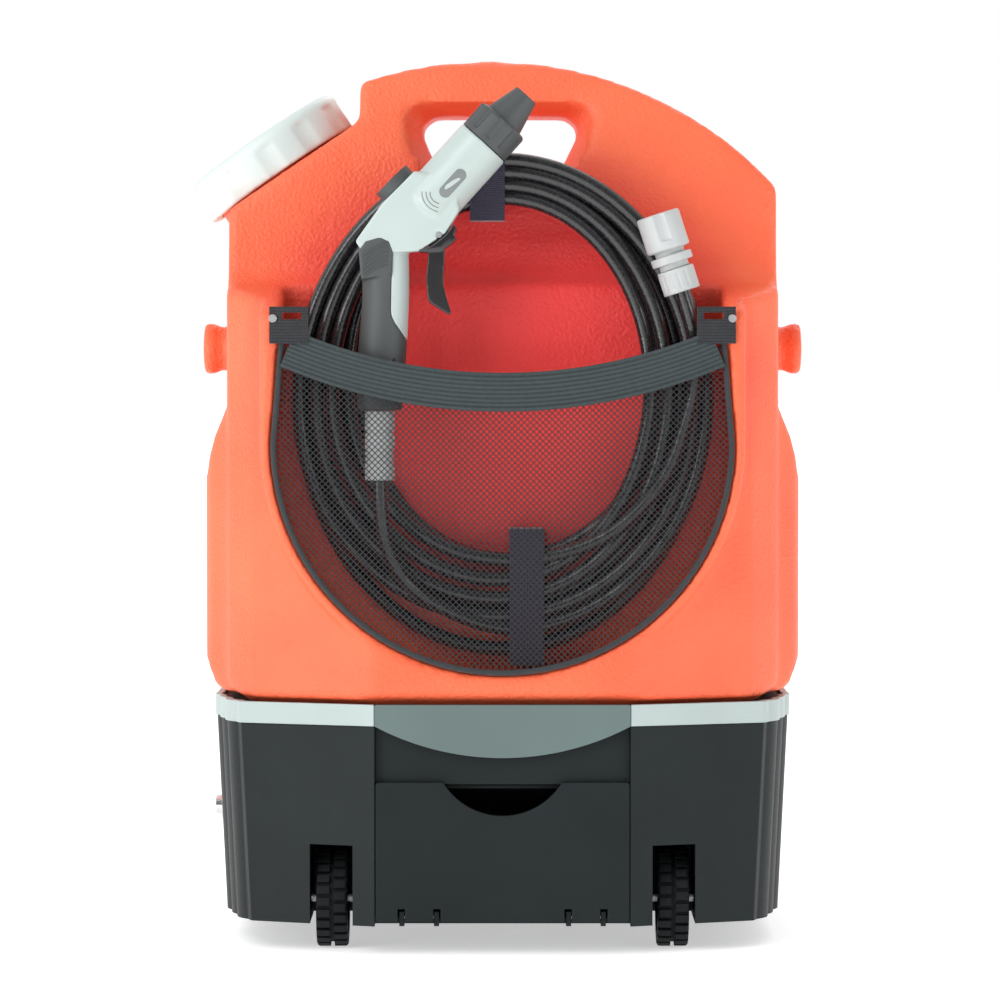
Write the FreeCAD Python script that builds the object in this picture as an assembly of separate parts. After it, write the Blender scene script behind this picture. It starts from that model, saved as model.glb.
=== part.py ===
import FreeCAD, Part
import math
import os

# Portable tank pressure washer: a moulded water tank with a carrying handle stands on a
# base with two wheels, a battery pump and a storage drawer door. The hose, its quick
# connector and the spray gun are kept in a net pocket in the front of the tank.
#
# Frame: millimetres, +X to the right seen from the front, -Y to the front, +Z up.
# The origin is on the floor, midway between the sides and between front and back.

V = FreeCAD.Vector

# ---- driving sizes -------------------------------------------------------------------

# overall
FRONT = -143.0            # foremost flat of base and tank
BACK = 143.0              # rear wall of base and tank
FACET_X = 77.0            # half width of the flat in the middle of the front
TANK_HALF_WIDTH = 168.0
TANK_BOTTOM = 152.0
TANK_TOP = 541.0
LEDGE_FRONT_Z = 387.0     # front edge of the sloping ledge over the pocket
LEDGE_BACK_Z = 405.0
UPPER_FRONT = -66.0       # front face of the slimmer upper body, at the ledge

# tank
TANK_WALL = 3.5
FACET_END_X = TANK_HALF_WIDTH - 18.0    # where the slanting front facets end
FACET_END_Y = -113.0
FLANK_X = TANK_HALF_WIDTH + 14.5        # the swollen lower sides
FLANK_TOP_Z = 339.0
PANEL_HALF_WIDTH = 145.0  # U-shaped front panel round the pocket
RECESS_RADIUS = 139.0
RECESS_MOUTH_HALF = 132.5
RECESS_Z = 306.0
RECESS_FLOOR = -78.0
FOOT_INSET = 12.0
SEAT_GAP = 0.3
SPLIT_Z = 428.0           # the tank is filed in two nodes that meet at this height

# carrying handle
ARCH_CENTRE = (-8.0, 309.0)
ARCH_RADIUS = 232.0
HAND_TOP_Z = 506.0
HAND_BOTTOM_Z = 464.0
FLARE_DEPTH = 24.0

# filler neck and cap
SHOULDER_HIGH = (-88.0, 503.3)   # ends of the slanting shoulder that carries the neck
SHOULDER_LOW = (-TANK_HALF_WIDTH - 16.4, 437.0)
NECK_RADIUS = 45.0
NECK_WALL = 4.0
NECK_HEIGHT = 19.0
CAP_RADIUS = 53.5
CAP_HEIGHT = 26.0
CAP_SEAT = 1.6            # gap from the shoulder to the cap's edge
CAP_CLEARANCE = 0.8
CAP_LOBES = 12
GASKET_THICK = 2.0

# strap bosses on the sides
BOSS_Z = 363.0
BOSS_REACH = TANK_HALF_WIDTH + 19.0
BOSS_RADIUS = 16.5
BOSS_NECK_RADIUS = 13.5
BOSS_FLANGE = 7.5

# base
BASE_BOTTOM = 17.0
BASE_TOP = 137.0
BASE_HALF_WIDTH = TANK_HALF_WIDTH + 8.0
BASE_DRAFT = 6.0          # the sides lean in by this much from top to bottom
BASE_WALL = 3.5
BAND_BOTTOM = 137.2
BAND_TOP = 150.0
BAND_THICK = 3.0
DECK_TOP = TANK_BOTTOM - 4.7
DECK_THICK = 4.0
DECK_GAP = 0.3

# front panel, crest and storage door
CREST_DROP = 19.0
PANEL_RECESS = 5.0
DOOR_HALF_WIDTH = 76.0
DOOR_BOTTOM = 19.5
DOOR_TOP = 103.4
DOOR_THICK = 3.4
DOOR_GAP = 0.6
NOTCH_HALF = 35.6
NOTCH_DEPTH = 20.0
HINGE_Z = 22.5
HINGE_Y = FRONT + 5.2
HINGE_PIN_RADIUS = 1.3
HINGE_BARREL_RADIUS = 3.2
HINGE_AT = 50.0
HINGE_WIDTH = 17.0
RUNNING_CLEARANCE = 0.05

# wheels
WHEEL_RADIUS = 30.0
WHEEL_WIDTH = 19.0
WHEEL_X = 103.0
WHEEL_Y = -97.0
TYRE_INNER = 22.0
TREAD_DEPTH = 2.6
TREAD_BLOCKS = 26
AXLE_RADIUS = 3.0
WELL_SIDE_GAP = 3.5
WELL_TOP_GAP = 5.0
WELL_WALL = 3.0
FOOT_RADIUS = 13.0
FOOT_AT = (142.0, 119.0)

# things in the base
TRAY_DEPTH = 92.0
TRAY_WALL = 2.0
PUMP_Y = 66.0
PUMP_Z = 60.0
MOTOR_RADIUS = 25.0
OUTLET_X = -112.0
OUTLET_RADIUS = 8.0
NIPPLE_Y = -12.0
NIPPLE_Z = 78.0
NIPPLE_RADIUS = 6.2

# hose and net pocket
HOSE_DIAMETER = 9.0
COIL_FRONT = -106.5
COIL_BACK = -80.2
COIL_HALF_WIDTH = 130.5
COIL_TOP = 485.0
COIL_BOTTOM = 173.0
COIL_HOLE_HALF = 76.0
COIL_HOLE_TOP = 446.0
COIL_HOLE_BOTTOM = 246.0
TIE_THICK = 1.2
TIE_WIDTH = 21.0
NET_RADIUS = 137.5
NET_EDGE_Y = -141.6
NET_FRONT_Y = -146.6
NET_THICK = 1.2
BAND_ARC_Z = 337.0        # middle of the elastic band, at its lowest
BAND_RISE = 26.0
BAND_HALF_SPAN = 128.0
ELASTIC_HEIGHT = 23.0
ELASTIC_THICK = 1.8

# spray gun
GUN_Y = -125.5
BARREL_RADIUS = 17.0
BARREL_START = (-42.0, 452.5)
BARREL_END = (-11.5, 486.2)
NOZZLE_RING_LENGTH = 18.0
NOZZLE_TIP_LENGTH = 20.0
GRIP_TOP_Z = 424.0
GRIP_BOTTOM_Z = 326.0
GRIP_X = -71.5
GRIP_HALF_X = 15.0
GRIP_HALF_Y = 13.0
GUN_HALF_THICK = 13.5
TRIGGER_PIVOT = (-38.0, 431.0)
TRIGGER_WIDTH = 13.0
GUN_PIN_RADIUS = 1.8
KNOB_RADIUS = 12.5
GUN_END_RADIUS = 9.0
GUN_END_BOTTOM = 284.0

SOLIDS = {}


# ---- drawing and solid helpers -------------------------------------------------------

def front_view(u, v):
    return V(u, 0, v)


def side_view(u, v):
    return V(0, u, v)


def top_view(u, v):
    return V(u, v, 0)


def outline(points, place):
    """Closed wire through corners (u, v, radius). A pair (u, v) between two corners makes
    the run between them an arc through that pair."""
    corners = [p for p in points if len(p) == 3]
    via = {}
    for index, point in enumerate(points):
        if len(point) == 2:
            via[len([p for p in points[:index] if len(p) == 3]) - 1] = point
    count = len(corners)
    spots = [V(c[0], c[1], 0) for c in corners]
    arrive, leave, bends = [], [], []
    for i in range(count):
        here = spots[i]
        radius = corners[i][2]
        if not radius:
            arrive.append(here)
            leave.append(here)
            bends.append(None)
            continue
        back = (spots[i - 1] - here).normalize()
        ahead = (spots[(i + 1) % count] - here).normalize()
        half = back.getAngle(ahead) / 2
        middle = (back + ahead).normalize()
        reach = radius / math.tan(half)
        arrive.append(here + back * reach)
        leave.append(here + ahead * reach)
        bends.append(here + middle * (radius / math.sin(half) - radius))
    edges = []
    for i in range(count):
        if bends[i]:
            edges.append(Part.Arc(place(arrive[i].x, arrive[i].y),
                                  place(bends[i].x, bends[i].y),
                                  place(leave[i].x, leave[i].y)).toShape())
        start = place(leave[i].x, leave[i].y)
        end_spot = arrive[(i + 1) % count]
        end = place(end_spot.x, end_spot.y)
        if i in via:
            edges.append(Part.Arc(start, place(*via[i]), end).toShape())
        elif start.distanceToPoint(end) > 1e-6:
            edges.append(Part.makeLine(start, end))
    return Part.Wire(edges)


def prism(points, place, low, high, inset=0.0):
    """The outline's face, drawn in by inset, from low to high across its view."""
    face = Part.Face(outline(points, place))
    if inset:
        face = face.makeOffset2D(-inset)
    across = {front_view: V(0, 1, 0), side_view: V(1, 0, 0), top_view: V(0, 0, 1)}[place]
    face.translate(across * low)
    return face.extrude(across * (high - low))


def block(x0, x1, y0, y1, z0, z1):
    return Part.makeBox(x1 - x0, y1 - y0, z1 - z0, V(x0, y0, z0))


def rod(radius, start, end):
    line = end - start
    return Part.makeCylinder(radius, line.Length, start, line)


def pipe(outer, inner, start, end):
    return rod(outer, start, end).cut(rod(inner, start, end))


def both_sides(shape):
    """The shape and its mirror image in the plane X = 0."""
    return [shape, shape.mirror(V(0, 0, 0), V(1, 0, 0))]


def mirrored(points):
    """Right-hand half of an outline, closed by its mirror image."""
    left = []
    for point in reversed(points):
        left.append((-point[0],) + tuple(point[1:]))
    return points + left


def softened(shape, radius, test):
    """Rounds the edges that pass the test."""
    edges = [e for e in shape.Edges if test(e)]
    return shape.makeFillet(radius, edges)


def lies_at(edge, axis, value):
    return all(abs(getattr(v.Point, axis) - value) < 1e-4 for v in edge.Vertexes)


def hose_path(points):
    """Straight runs joined by tangent arcs, each 0.45 of its shorter run."""
    edges = []
    radii = []
    last = points[0]
    for i in range(1, len(points) - 1):
        here = points[i]
        back = points[i - 1] - here
        ahead = points[i + 1] - here
        reach = 0.45 * min(back.Length, ahead.Length)
        turn = math.pi - back.getAngle(ahead)
        radius = reach / math.tan(turn / 2)
        radii.append(radius)
        start = here + V(back).normalize() * reach
        end = here + V(ahead).normalize() * reach
        inward = (V(back).normalize() + V(ahead).normalize()).normalize()
        middle = here + inward * (radius / math.cos(turn / 2) - radius)
        edges.append(Part.LineSegment(last, start).toShape())
        edges.append(Part.Arc(start, middle, end).toShape())
        last = end
    edges.append(Part.LineSegment(last, points[-1]).toShape())
    return Part.Wire(edges), radii


def hose(name, points, diameter):
    """A plain round hose along the points; prints its bends and compares its volume."""
    wire, radii = hose_path(points)
    first = points[1] - points[0]
    circle = Part.Wire(Part.makeCircle(diameter / 2, points[0], first))
    solid = wire.makePipeShell([circle], True, False)
    expected = math.pi * diameter ** 2 / 4 * wire.Length
    print(name, "length", round(wire.Length, 1), "bend radii", [round(r, 1) for r in radii],
          "volume ratio", round(solid.Volume / expected, 4))
    return solid


def keep(name, *shapes):
    """Files a node: one solid, or a group of like solids."""
    solids = []
    for shape in shapes:
        solids.extend(shape.Solids)
    SOLIDS[name] = solids[0] if len(solids) == 1 else Part.makeCompound(solids)


# ---- tank ----------------------------------------------------------------------------

SILHOUETTE = [
    (TANK_HALF_WIDTH, TANK_BOTTOM, 14.0),
    (TANK_HALF_WIDTH, 439.0, 12.0),
    (TANK_HALF_WIDTH + 8.0, 452.2, 0.0),
    (60.0, 530.8),
    (SHOULDER_HIGH[0], 526.9, 0.0),
    SHOULDER_HIGH + (2.0,),
    SHOULDER_LOW + (4.0,),
    (-TANK_HALF_WIDTH, 413.0, 14.0),
    (-TANK_HALF_WIDTH, TANK_BOTTOM, 14.0),
]

SIDE_PROFILE = [
    (FRONT, TANK_BOTTOM, 8.0),
    (FRONT, LEDGE_FRONT_Z, 10.0),
    (UPPER_FRONT, LEDGE_BACK_Z, 18.0),
    (-60.0, 480.0, 60.0),
    (-34.0, TANK_TOP + 1, 16.0),
    (34.0, TANK_TOP + 1, 16.0),
    (60.0, 480.0, 60.0),
    (-UPPER_FRONT, LEDGE_BACK_Z, 18.0),
    (BACK, LEDGE_FRONT_Z, 22.0),
    (BACK, TANK_BOTTOM, 8.0),
]

PLAN = mirrored([
    (FACET_X, FRONT, 6.0),
    (FACET_END_X, FACET_END_Y, 10.0),
    (TANK_HALF_WIDTH, -88.0, 14.0),
    (TANK_HALF_WIDTH, BACK, 28.0),
])

FLANK = [
    (120.0, TANK_BOTTOM + 1.5, 0.0),
    (FLANK_X - 8.0, TANK_BOTTOM + 1.5, 8.0),
    (FLANK_X, 172.0, 10.0),
    (FLANK_X, 286.0, 30.0),
    (FLANK_X - 4.5, 306.0, 30.0),
    (FLANK_X - 18.5, FLANK_TOP_Z, 10.0),
    (120.0, FLANK_TOP_Z, 0.0),
]

FLANK_PLAN = [
    (110.0, -92.0, 0.0),
    (156.0, -92.0, 10.0),
    (FLANK_X, -58.0, 24.0),
    (FLANK_X, BACK - 31.0, 24.0),
    (156.0, BACK - 7.0, 10.0),
    (110.0, BACK - 7.0, 0.0),
]

U_PANEL = [
    (PANEL_HALF_WIDTH, RECESS_Z, 0.0),
    (PANEL_HALF_WIDTH, LEDGE_BACK_Z, 12.0),
    (-PANEL_HALF_WIDTH, LEDGE_BACK_Z, 12.0),
    (-PANEL_HALF_WIDTH, RECESS_Z, 0.0),
    (0.0, RECESS_Z - PANEL_HALF_WIDTH),
]

RECESS = [
    (RECESS_RADIUS, RECESS_Z, 0.0),
    (RECESS_MOUTH_HALF, LEDGE_FRONT_Z, 0.0),
    (RECESS_MOUTH_HALF, 620.0, 0.0),
    (-RECESS_MOUTH_HALF, 620.0, 0.0),
    (-RECESS_MOUTH_HALF, LEDGE_FRONT_Z, 0.0),
    (-RECESS_RADIUS, RECESS_Z, 0.0),
    (0.0, RECESS_Z - RECESS_RADIUS),
]

HAND_HOLE = [
    (-54.0, HAND_TOP_Z, 9.0),
    (52.0, HAND_TOP_Z, 9.0),
    (31.0, HAND_BOTTOM_Z, 14.0),
    (-36.0, HAND_BOTTOM_Z, 14.0),
]

HAND_FLARE = [
    (-70.0, HAND_TOP_Z + 15.0, 12.0),
    (64.0, HAND_TOP_Z + 15.0, 12.0),
    (42.0, HAND_BOTTOM_Z - 10.0, 18.0),
    (-47.0, HAND_BOTTOM_Z - 10.0, 18.0),
]

SHOULDER = V(SHOULDER_HIGH[0] - SHOULDER_LOW[0], 0, SHOULDER_HIGH[1] - SHOULDER_LOW[1])
NECK_AXIS = V(-SHOULDER.z, 0, SHOULDER.x).normalize()
NECK_FOOT = V(SHOULDER_LOW[0], 0, SHOULDER_LOW[1]) + SHOULDER * 0.5


def along_neck(distance):
    return NECK_FOOT + NECK_AXIS * distance


def hand_hole(grow):
    """The hole of the handle with its flared mouths in front and behind; grow widens it
    by a wall."""
    parts = [prism(HAND_HOLE, front_view, -80.0, 80.0, -grow)]
    for side in (-1, 1):
        inner = Part.Face(outline(HAND_HOLE, front_view))
        outer = Part.Face(outline(HAND_FLARE, front_view))
        if grow:
            inner = inner.makeOffset2D(grow)
            outer = outer.makeOffset2D(grow)
        inner.translate(V(0, side * FLARE_DEPTH, 0))
        outer.translate(V(0, side * (FLARE_DEPTH + 34.0), 0))
        parts.append(Part.makeLoft([inner.OuterWire, outer.OuterWire], True, True))
    return parts[0].fuse(parts[1:])


def tank_form(inset):
    """The tank's outer form, or with an inset the form of the water space."""
    reach = 300.0
    form = prism(SILHOUETTE, front_view, -reach, reach, inset)
    form = form.common(prism(SIDE_PROFILE, side_view, -reach, reach, inset))
    form = form.common(prism(PLAN, top_view, 0.0, 2 * reach, inset))
    flank = prism(FLANK, front_view, -reach, reach, inset)
    flank = flank.common(prism(FLANK_PLAN, top_view, 0.0, 2 * reach, inset))
    panel = prism(U_PANEL, front_view, FRONT + inset, -60.0, inset)
    panel = panel.common(prism(SIDE_PROFILE, side_view, -reach, reach, inset))
    form = form.fuse(both_sides(flank) + [panel])
    recess = Part.Face(outline(RECESS, front_view))
    if inset:
        recess = recess.makeOffset2D(inset)
    recess.translate(V(0, FRONT - 60.0, 0))
    recess = recess.extrude(V(0, RECESS_FLOOR + inset - FRONT + 60.0, 0))
    form = form.cut(recess)
    return form.cut(hand_hole(inset))


def make_tank():
    outer = tank_form(0.0)
    foot = prism(PLAN, top_view, DECK_TOP + SEAT_GAP, TANK_BOTTOM + 2.0, FOOT_INSET)
    foot = foot.common(block(-200, 200, FRONT + FOOT_INSET, RECESS_FLOOR + 400, 0, 400))
    neck = rod(NECK_RADIUS, along_neck(-30.0), along_neck(NECK_HEIGHT))
    bosses = []
    for side in (-1, 1):
        start = V(side * (TANK_HALF_WIDTH - 8.0), 5.0, BOSS_Z)
        waist = V(side * (BOSS_REACH - BOSS_FLANGE), 5.0, BOSS_Z)
        tip = V(side * BOSS_REACH, 5.0, BOSS_Z)
        stem = rod(BOSS_NECK_RADIUS, start, waist)
        head = rod(BOSS_RADIUS, waist, tip)
        head = head.makeFillet(2.2, [e for e in head.Edges if isinstance(e.Curve, Part.Circle)])
        bosses += [stem, head]
    outer = outer.fuse([foot, neck] + bosses)
    inner = tank_form(TANK_WALL)
    bore = rod(NECK_RADIUS - NECK_WALL, along_neck(-34.0), along_neck(NECK_HEIGHT + 1.0))
    inner = inner.fuse(bore)
    shell = outer.cut(inner)
    outlet = rod(OUTLET_RADIUS + 2.3, V(OUTLET_X, PUMP_Y, 100), V(OUTLET_X, PUMP_Y, 170))
    shell = shell.cut(outlet)
    inserts = [rod(8.0, V(x, y, TANK_BOTTOM), V(x, y, 168.0)) for x, y in TANK_SCREWS]
    shell = shell.fuse(inserts)
    for x, y in TANK_SCREWS:
        shell = shell.cut(rod(2.3, V(x, y, 140.0), V(x, y, 162.0)))
    above = block(-300.0, 300.0, -300.0, 300.0, SPLIT_Z, TANK_TOP + 100.0)
    keep("tank_shell", shell.cut(above))
    keep("tank_top", shell.common(above))


def make_cap():
    """Screw cap with a scalloped rim, and its gasket, on the neck's axis."""
    bottom = CAP_SEAT
    top = bottom + CAP_HEIGHT
    cap = rod(CAP_RADIUS, along_neck(bottom), along_neck(top))
    cap = softened(cap, 6.0, lambda e: isinstance(e.Curve, Part.Circle)
                   and e.Curve.Center.distanceToPoint(along_neck(top)) < 0.01)
    ceiling = NECK_HEIGHT + GASKET_THICK + 2 * SEAT_GAP
    cap = cap.cut(rod(NECK_RADIUS + CAP_CLEARANCE, along_neck(bottom - 1), along_neck(ceiling)))
    across = V(0, 1, 0)
    beside = NECK_AXIS.cross(across)
    scallops = []
    for i in range(CAP_LOBES):
        turn = 2 * math.pi * i / CAP_LOBES
        out = across * math.cos(turn) + beside * math.sin(turn)
        centre = out * (CAP_RADIUS + 20.5)
        scallops.append(rod(22.0, along_neck(bottom - 1) + centre, along_neck(top - 7) + centre))
    for scallop in scallops:
        cap = cap.cut(scallop)
    dish = rod(CAP_RADIUS - 14.0, along_neck(top - 1.2), along_neck(top + 1))
    keep("filler_cap", cap.cut(dish))
    gasket_low = NECK_HEIGHT + SEAT_GAP
    keep("cap_gasket", pipe(NECK_RADIUS - 0.5, NECK_RADIUS - NECK_WALL - 2.0,
                            along_neck(gasket_low), along_neck(gasket_low + GASKET_THICK)))


def make_outlet():
    """Tank outlet: flanged fitting, seal, nut inside the tank and the suction strainer."""
    at = lambda z: V(OUTLET_X, PUMP_Y, z)
    under = DECK_TOP + SEAT_GAP
    floor = TANK_BOTTOM + TANK_WALL
    fitting = rod(16.0, at(under - 4.0), at(under - 1.0))
    fitting = fitting.fuse([rod(OUTLET_RADIUS + 2.0, at(under - 1.5), at(floor + 5.0)),
                            rod(6.2, at(118.0), at(under - 2.0))])
    fitting = fitting.cut(rod(4.5, at(110.0), at(floor + 6.0)))
    keep("outlet_fitting", fitting)
    keep("outlet_seal", pipe(16.0, OUTLET_RADIUS + 2.1, at(under - 0.95), at(under - 0.05)))
    nut = pipe(15.0, OUTLET_RADIUS + 2.1, at(floor + SEAT_GAP), at(floor + 4.5))
    strainer = pipe(12.0, 10.6, at(floor + 5.3), at(floor + 42.0))
    strainer = strainer.fuse([rod(12.0, at(floor + 40.0), at(floor + 43.0)),
                              pipe(12.0, 4.5, at(floor + 5.3), at(floor + 7.0))])
    for level in range(5):
        z = floor + 11.0 + 6.0 * level
        slot = block(-14, 14, -2.0, 2.0, -1.4, 1.4)
        for turn in (0, 60, 120):
            cut = slot.copy()
            cut.rotate(V(0, 0, 0), V(0, 0, 1), turn)
            cut.translate(at(z))
            strainer = strainer.cut(cut)
    keep("suction_strainer", strainer)
    return nut


# ---- base ----------------------------------------------------------------------------

def base_plan(side_in, end_in):
    """Plan of the base, drawn in at the sides and at front and back."""
    wide = BASE_HALF_WIDTH - side_in
    return mirrored([
        (FACET_X, FRONT + end_in, 2.0),
        (wide - 18.0, -112.0 + end_in, 3.0),
        (wide - 15.5, -104.0 + end_in, 0.0),
        (wide - 9.5, -94.0 + end_in),
        (wide - 8.5, -80.0, 0.0),
        (wide - 4.2, -69.0),
        (wide - 4.0, -56.0, 0.0),
        (wide + 0.2, -45.0),
        (wide - 1.0, -31.0, 0.0),
        (wide, -27.0, 0.0),
        (wide, BACK - end_in, 26.0),
    ])


BASE_ROOM = mirrored([
    (FACET_X, FRONT, 0.0),
    (BASE_HALF_WIDTH - BASE_DRAFT - 18.5, -112.0, 0.0),
    (BASE_HALF_WIDTH - BASE_DRAFT - 10.0, -80.0, 0.0),
    (BASE_HALF_WIDTH - BASE_DRAFT - 4.0, -50.0, 0.0),
    (BASE_HALF_WIDTH - BASE_DRAFT, -27.0, 0.0),
    (BASE_HALF_WIDTH - BASE_DRAFT, BACK, 26.0),
])

TANK_SCREWS = [(x, y) for x in (-120.0, 120.0) for y in (-60.0, 100.0)]
PLATE = (6.0, 146.0, -34.0, 100.0)          # service plate under the battery
PLATE_THICK = 2.6
BATTERY = (14.0, 138.0, -26.0, 92.0)
BATTERY_TOP = 104.0
HATCH_RIM = 5.0
WELL_HALF = WHEEL_WIDTH / 2 + WELL_SIDE_GAP
WELL_TOP = 2 * WHEEL_RADIUS + WELL_TOP_GAP
SWITCH_AT = (62.0, 96.0)
SWITCH_SIZE = (28.0, 20.0)
SOCKET_AT = (14.0, 96.0)
SOCKET_RADIUS = 9.0
FLOOR_TOP = BASE_BOTTOM + BASE_WALL


def plate_screws():
    x0, x1, y0, y1 = PLATE
    return [(x, y) for x in (x0 + 5, x1 - 5) for y in (y0 + 5, (y0 + y1) / 2, y1 - 5)]


def hinge_spots():
    return (-HINGE_AT, HINGE_AT)


def make_base_shell():
    low = outline(base_plan(BASE_DRAFT, 0.0), top_view)
    low.translate(V(0, 0, BASE_BOTTOM))
    high = outline(base_plan(0.0, 0.0), top_view)
    high.translate(V(0, 0, BASE_TOP))
    body = Part.makeLoft([low, high], True, True)
    room = prism(BASE_ROOM, top_view, FLOOR_TOP, BASE_TOP + 1, BASE_WALL)
    wells, hollows = [], []
    for x in (-WHEEL_X, WHEEL_X):
        wall = WELL_HALF + WELL_WALL
        back = WHEEL_Y + WHEEL_RADIUS + 5.0
        wells.append(block(x - wall, x + wall, FRONT - 9, back + WELL_WALL, 0, WELL_TOP + WELL_WALL))
        hollows.append(block(x - WELL_HALF, x + WELL_HALF, FRONT - 9, back, 0, WELL_TOP))
    shell = body.cut(room).fuse([body.common(well) for well in wells])
    for hollow in hollows:
        shell = shell.cut(hollow)
    opening = DOOR_HALF_WIDTH + DOOR_GAP
    shell = shell.cut(block(-opening, opening, FRONT - 5, FRONT + 16.5, 0, BASE_TOP + 5))
    ribs = []
    for x in (-opening - 2.4, opening):
        ribs.append(block(x, x + 2.4, FRONT + 2.5, FRONT + 15.0, BASE_BOTTOM, BASE_TOP))
    for x in (-62.0, 58.0):
        ribs.append(block(x, x + 4.0, -120.0, -50.0, BASE_BOTTOM, 28.7))
    for x in hinge_spots():
        for side in (-1, 1):
            middle = x + side * (HINGE_WIDTH / 2 + 0.4 + 1.5)
            ribs.append(block(middle - 1.5, middle + 1.5, HINGE_Y - 3.2, FRONT + 18.0,
                              BASE_BOTTOM, HINGE_Z + 3.2))
    shell = shell.fuse(ribs)
    shell = shell.cut(rod(HINGE_PIN_RADIUS + RUNNING_CLEARANCE, V(-DOOR_HALF_WIDTH + 8, HINGE_Y, HINGE_Z),
                          V(DOOR_HALF_WIDTH - 8, HINGE_Y, HINGE_Z)))
    for x in (-WHEEL_X, WHEEL_X):
        reach = WELL_HALF + WELL_WALL + 2.0
        shell = shell.cut(rod(AXLE_RADIUS + RUNNING_CLEARANCE, V(x - reach, WHEEL_Y, WHEEL_RADIUS),
                              V(x + reach, WHEEL_Y, WHEEL_RADIUS)))
    x0, x1, y0, y1 = PLATE
    rim = 2 * HATCH_RIM
    shell = shell.cut(block(x0 + rim, x1 - rim, y0 + rim, y1 - rim, 0, FLOOR_TOP + 1))
    shell = shell.fuse([rod(4.5, V(x, y, BASE_BOTTOM), V(x, y, 30.0)) for x, y in plate_screws()])
    for x, y in plate_screws():
        shell = shell.cut(rod(1.7, V(x, y, 0), V(x, y, 26.0)))
    shell = shell.cut(rod(NIPPLE_RADIUS + 0.2, V(-200, NIPPLE_Y, NIPPLE_Z), V(-150, NIPPLE_Y, NIPPLE_Z)))
    sx, sz = SWITCH_AT
    wide, tall = SWITCH_SIZE
    shell = shell.cut(block(sx - wide / 2, sx + wide / 2, BACK - 20, BACK + 5, sz - tall / 2, sz + tall / 2))
    cx, cz = SOCKET_AT
    shell = shell.cut(rod(SOCKET_RADIUS + 0.2, V(cx, BACK - 20, cz), V(cx, BACK + 5, cz)))
    for x in (-FOOT_AT[0], FOOT_AT[0]):
        shell = shell.cut(rod(2.1, V(x, FOOT_AT[1], 0), V(x, FOOT_AT[1], 40)))
    keep("base_shell", shell)


def make_deck():
    """Lid of the base that carries the tank, the band round it, and the crest in front."""
    under = DECK_TOP - DECK_THICK
    deck = prism(base_plan(BAND_THICK + DECK_GAP, BAND_THICK + DECK_GAP), top_view, BASE_TOP, DECK_TOP)
    deck = deck.cut(prism(BASE_ROOM, top_view, BASE_TOP - 1, under, BASE_WALL + 6.0))
    deck = deck.cut(rod(17.0, V(OUTLET_X, PUMP_Y, 100), V(OUTLET_X, PUMP_Y, 200)))
    for x, y in TANK_SCREWS:
        deck = deck.cut(rod(2.7, V(x, y, 100), V(x, y, 200)))
    keep("base_deck", deck)
    outer = prism(base_plan(-1.0, -1.0), top_view, BAND_BOTTOM, BAND_TOP)
    inner = prism(base_plan(BAND_THICK, BAND_THICK), top_view, BAND_BOTTOM - 1, BAND_TOP + 1)
    band = outer.cut(inner)
    crest_half = FACET_X - 0.3
    band = band.cut(block(-FACET_X, FACET_X, FRONT - 9, FRONT + 12, 100, 200))
    keep("trim_band", band)
    crest = prism([(crest_half, BAND_TOP, 1.0), (-crest_half, BAND_TOP, 1.0),
                   (-crest_half, BAND_BOTTOM, 0.0), (0.0, BAND_BOTTOM - CREST_DROP),
                   (crest_half, BAND_BOTTOM, 0.0)], front_view, FRONT - 1.0, FRONT + BAND_THICK)
    keep("front_crest", crest)
    screws = []
    for x, y in TANK_SCREWS:
        shank = rod(2.25, V(x, y, under - 1), V(x, y, 161.0))
        screws.append(shank.fuse(rod(5.0, V(x, y, under - 3.5), V(x, y, under))))
    keep("tank_screws", *screws)


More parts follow.
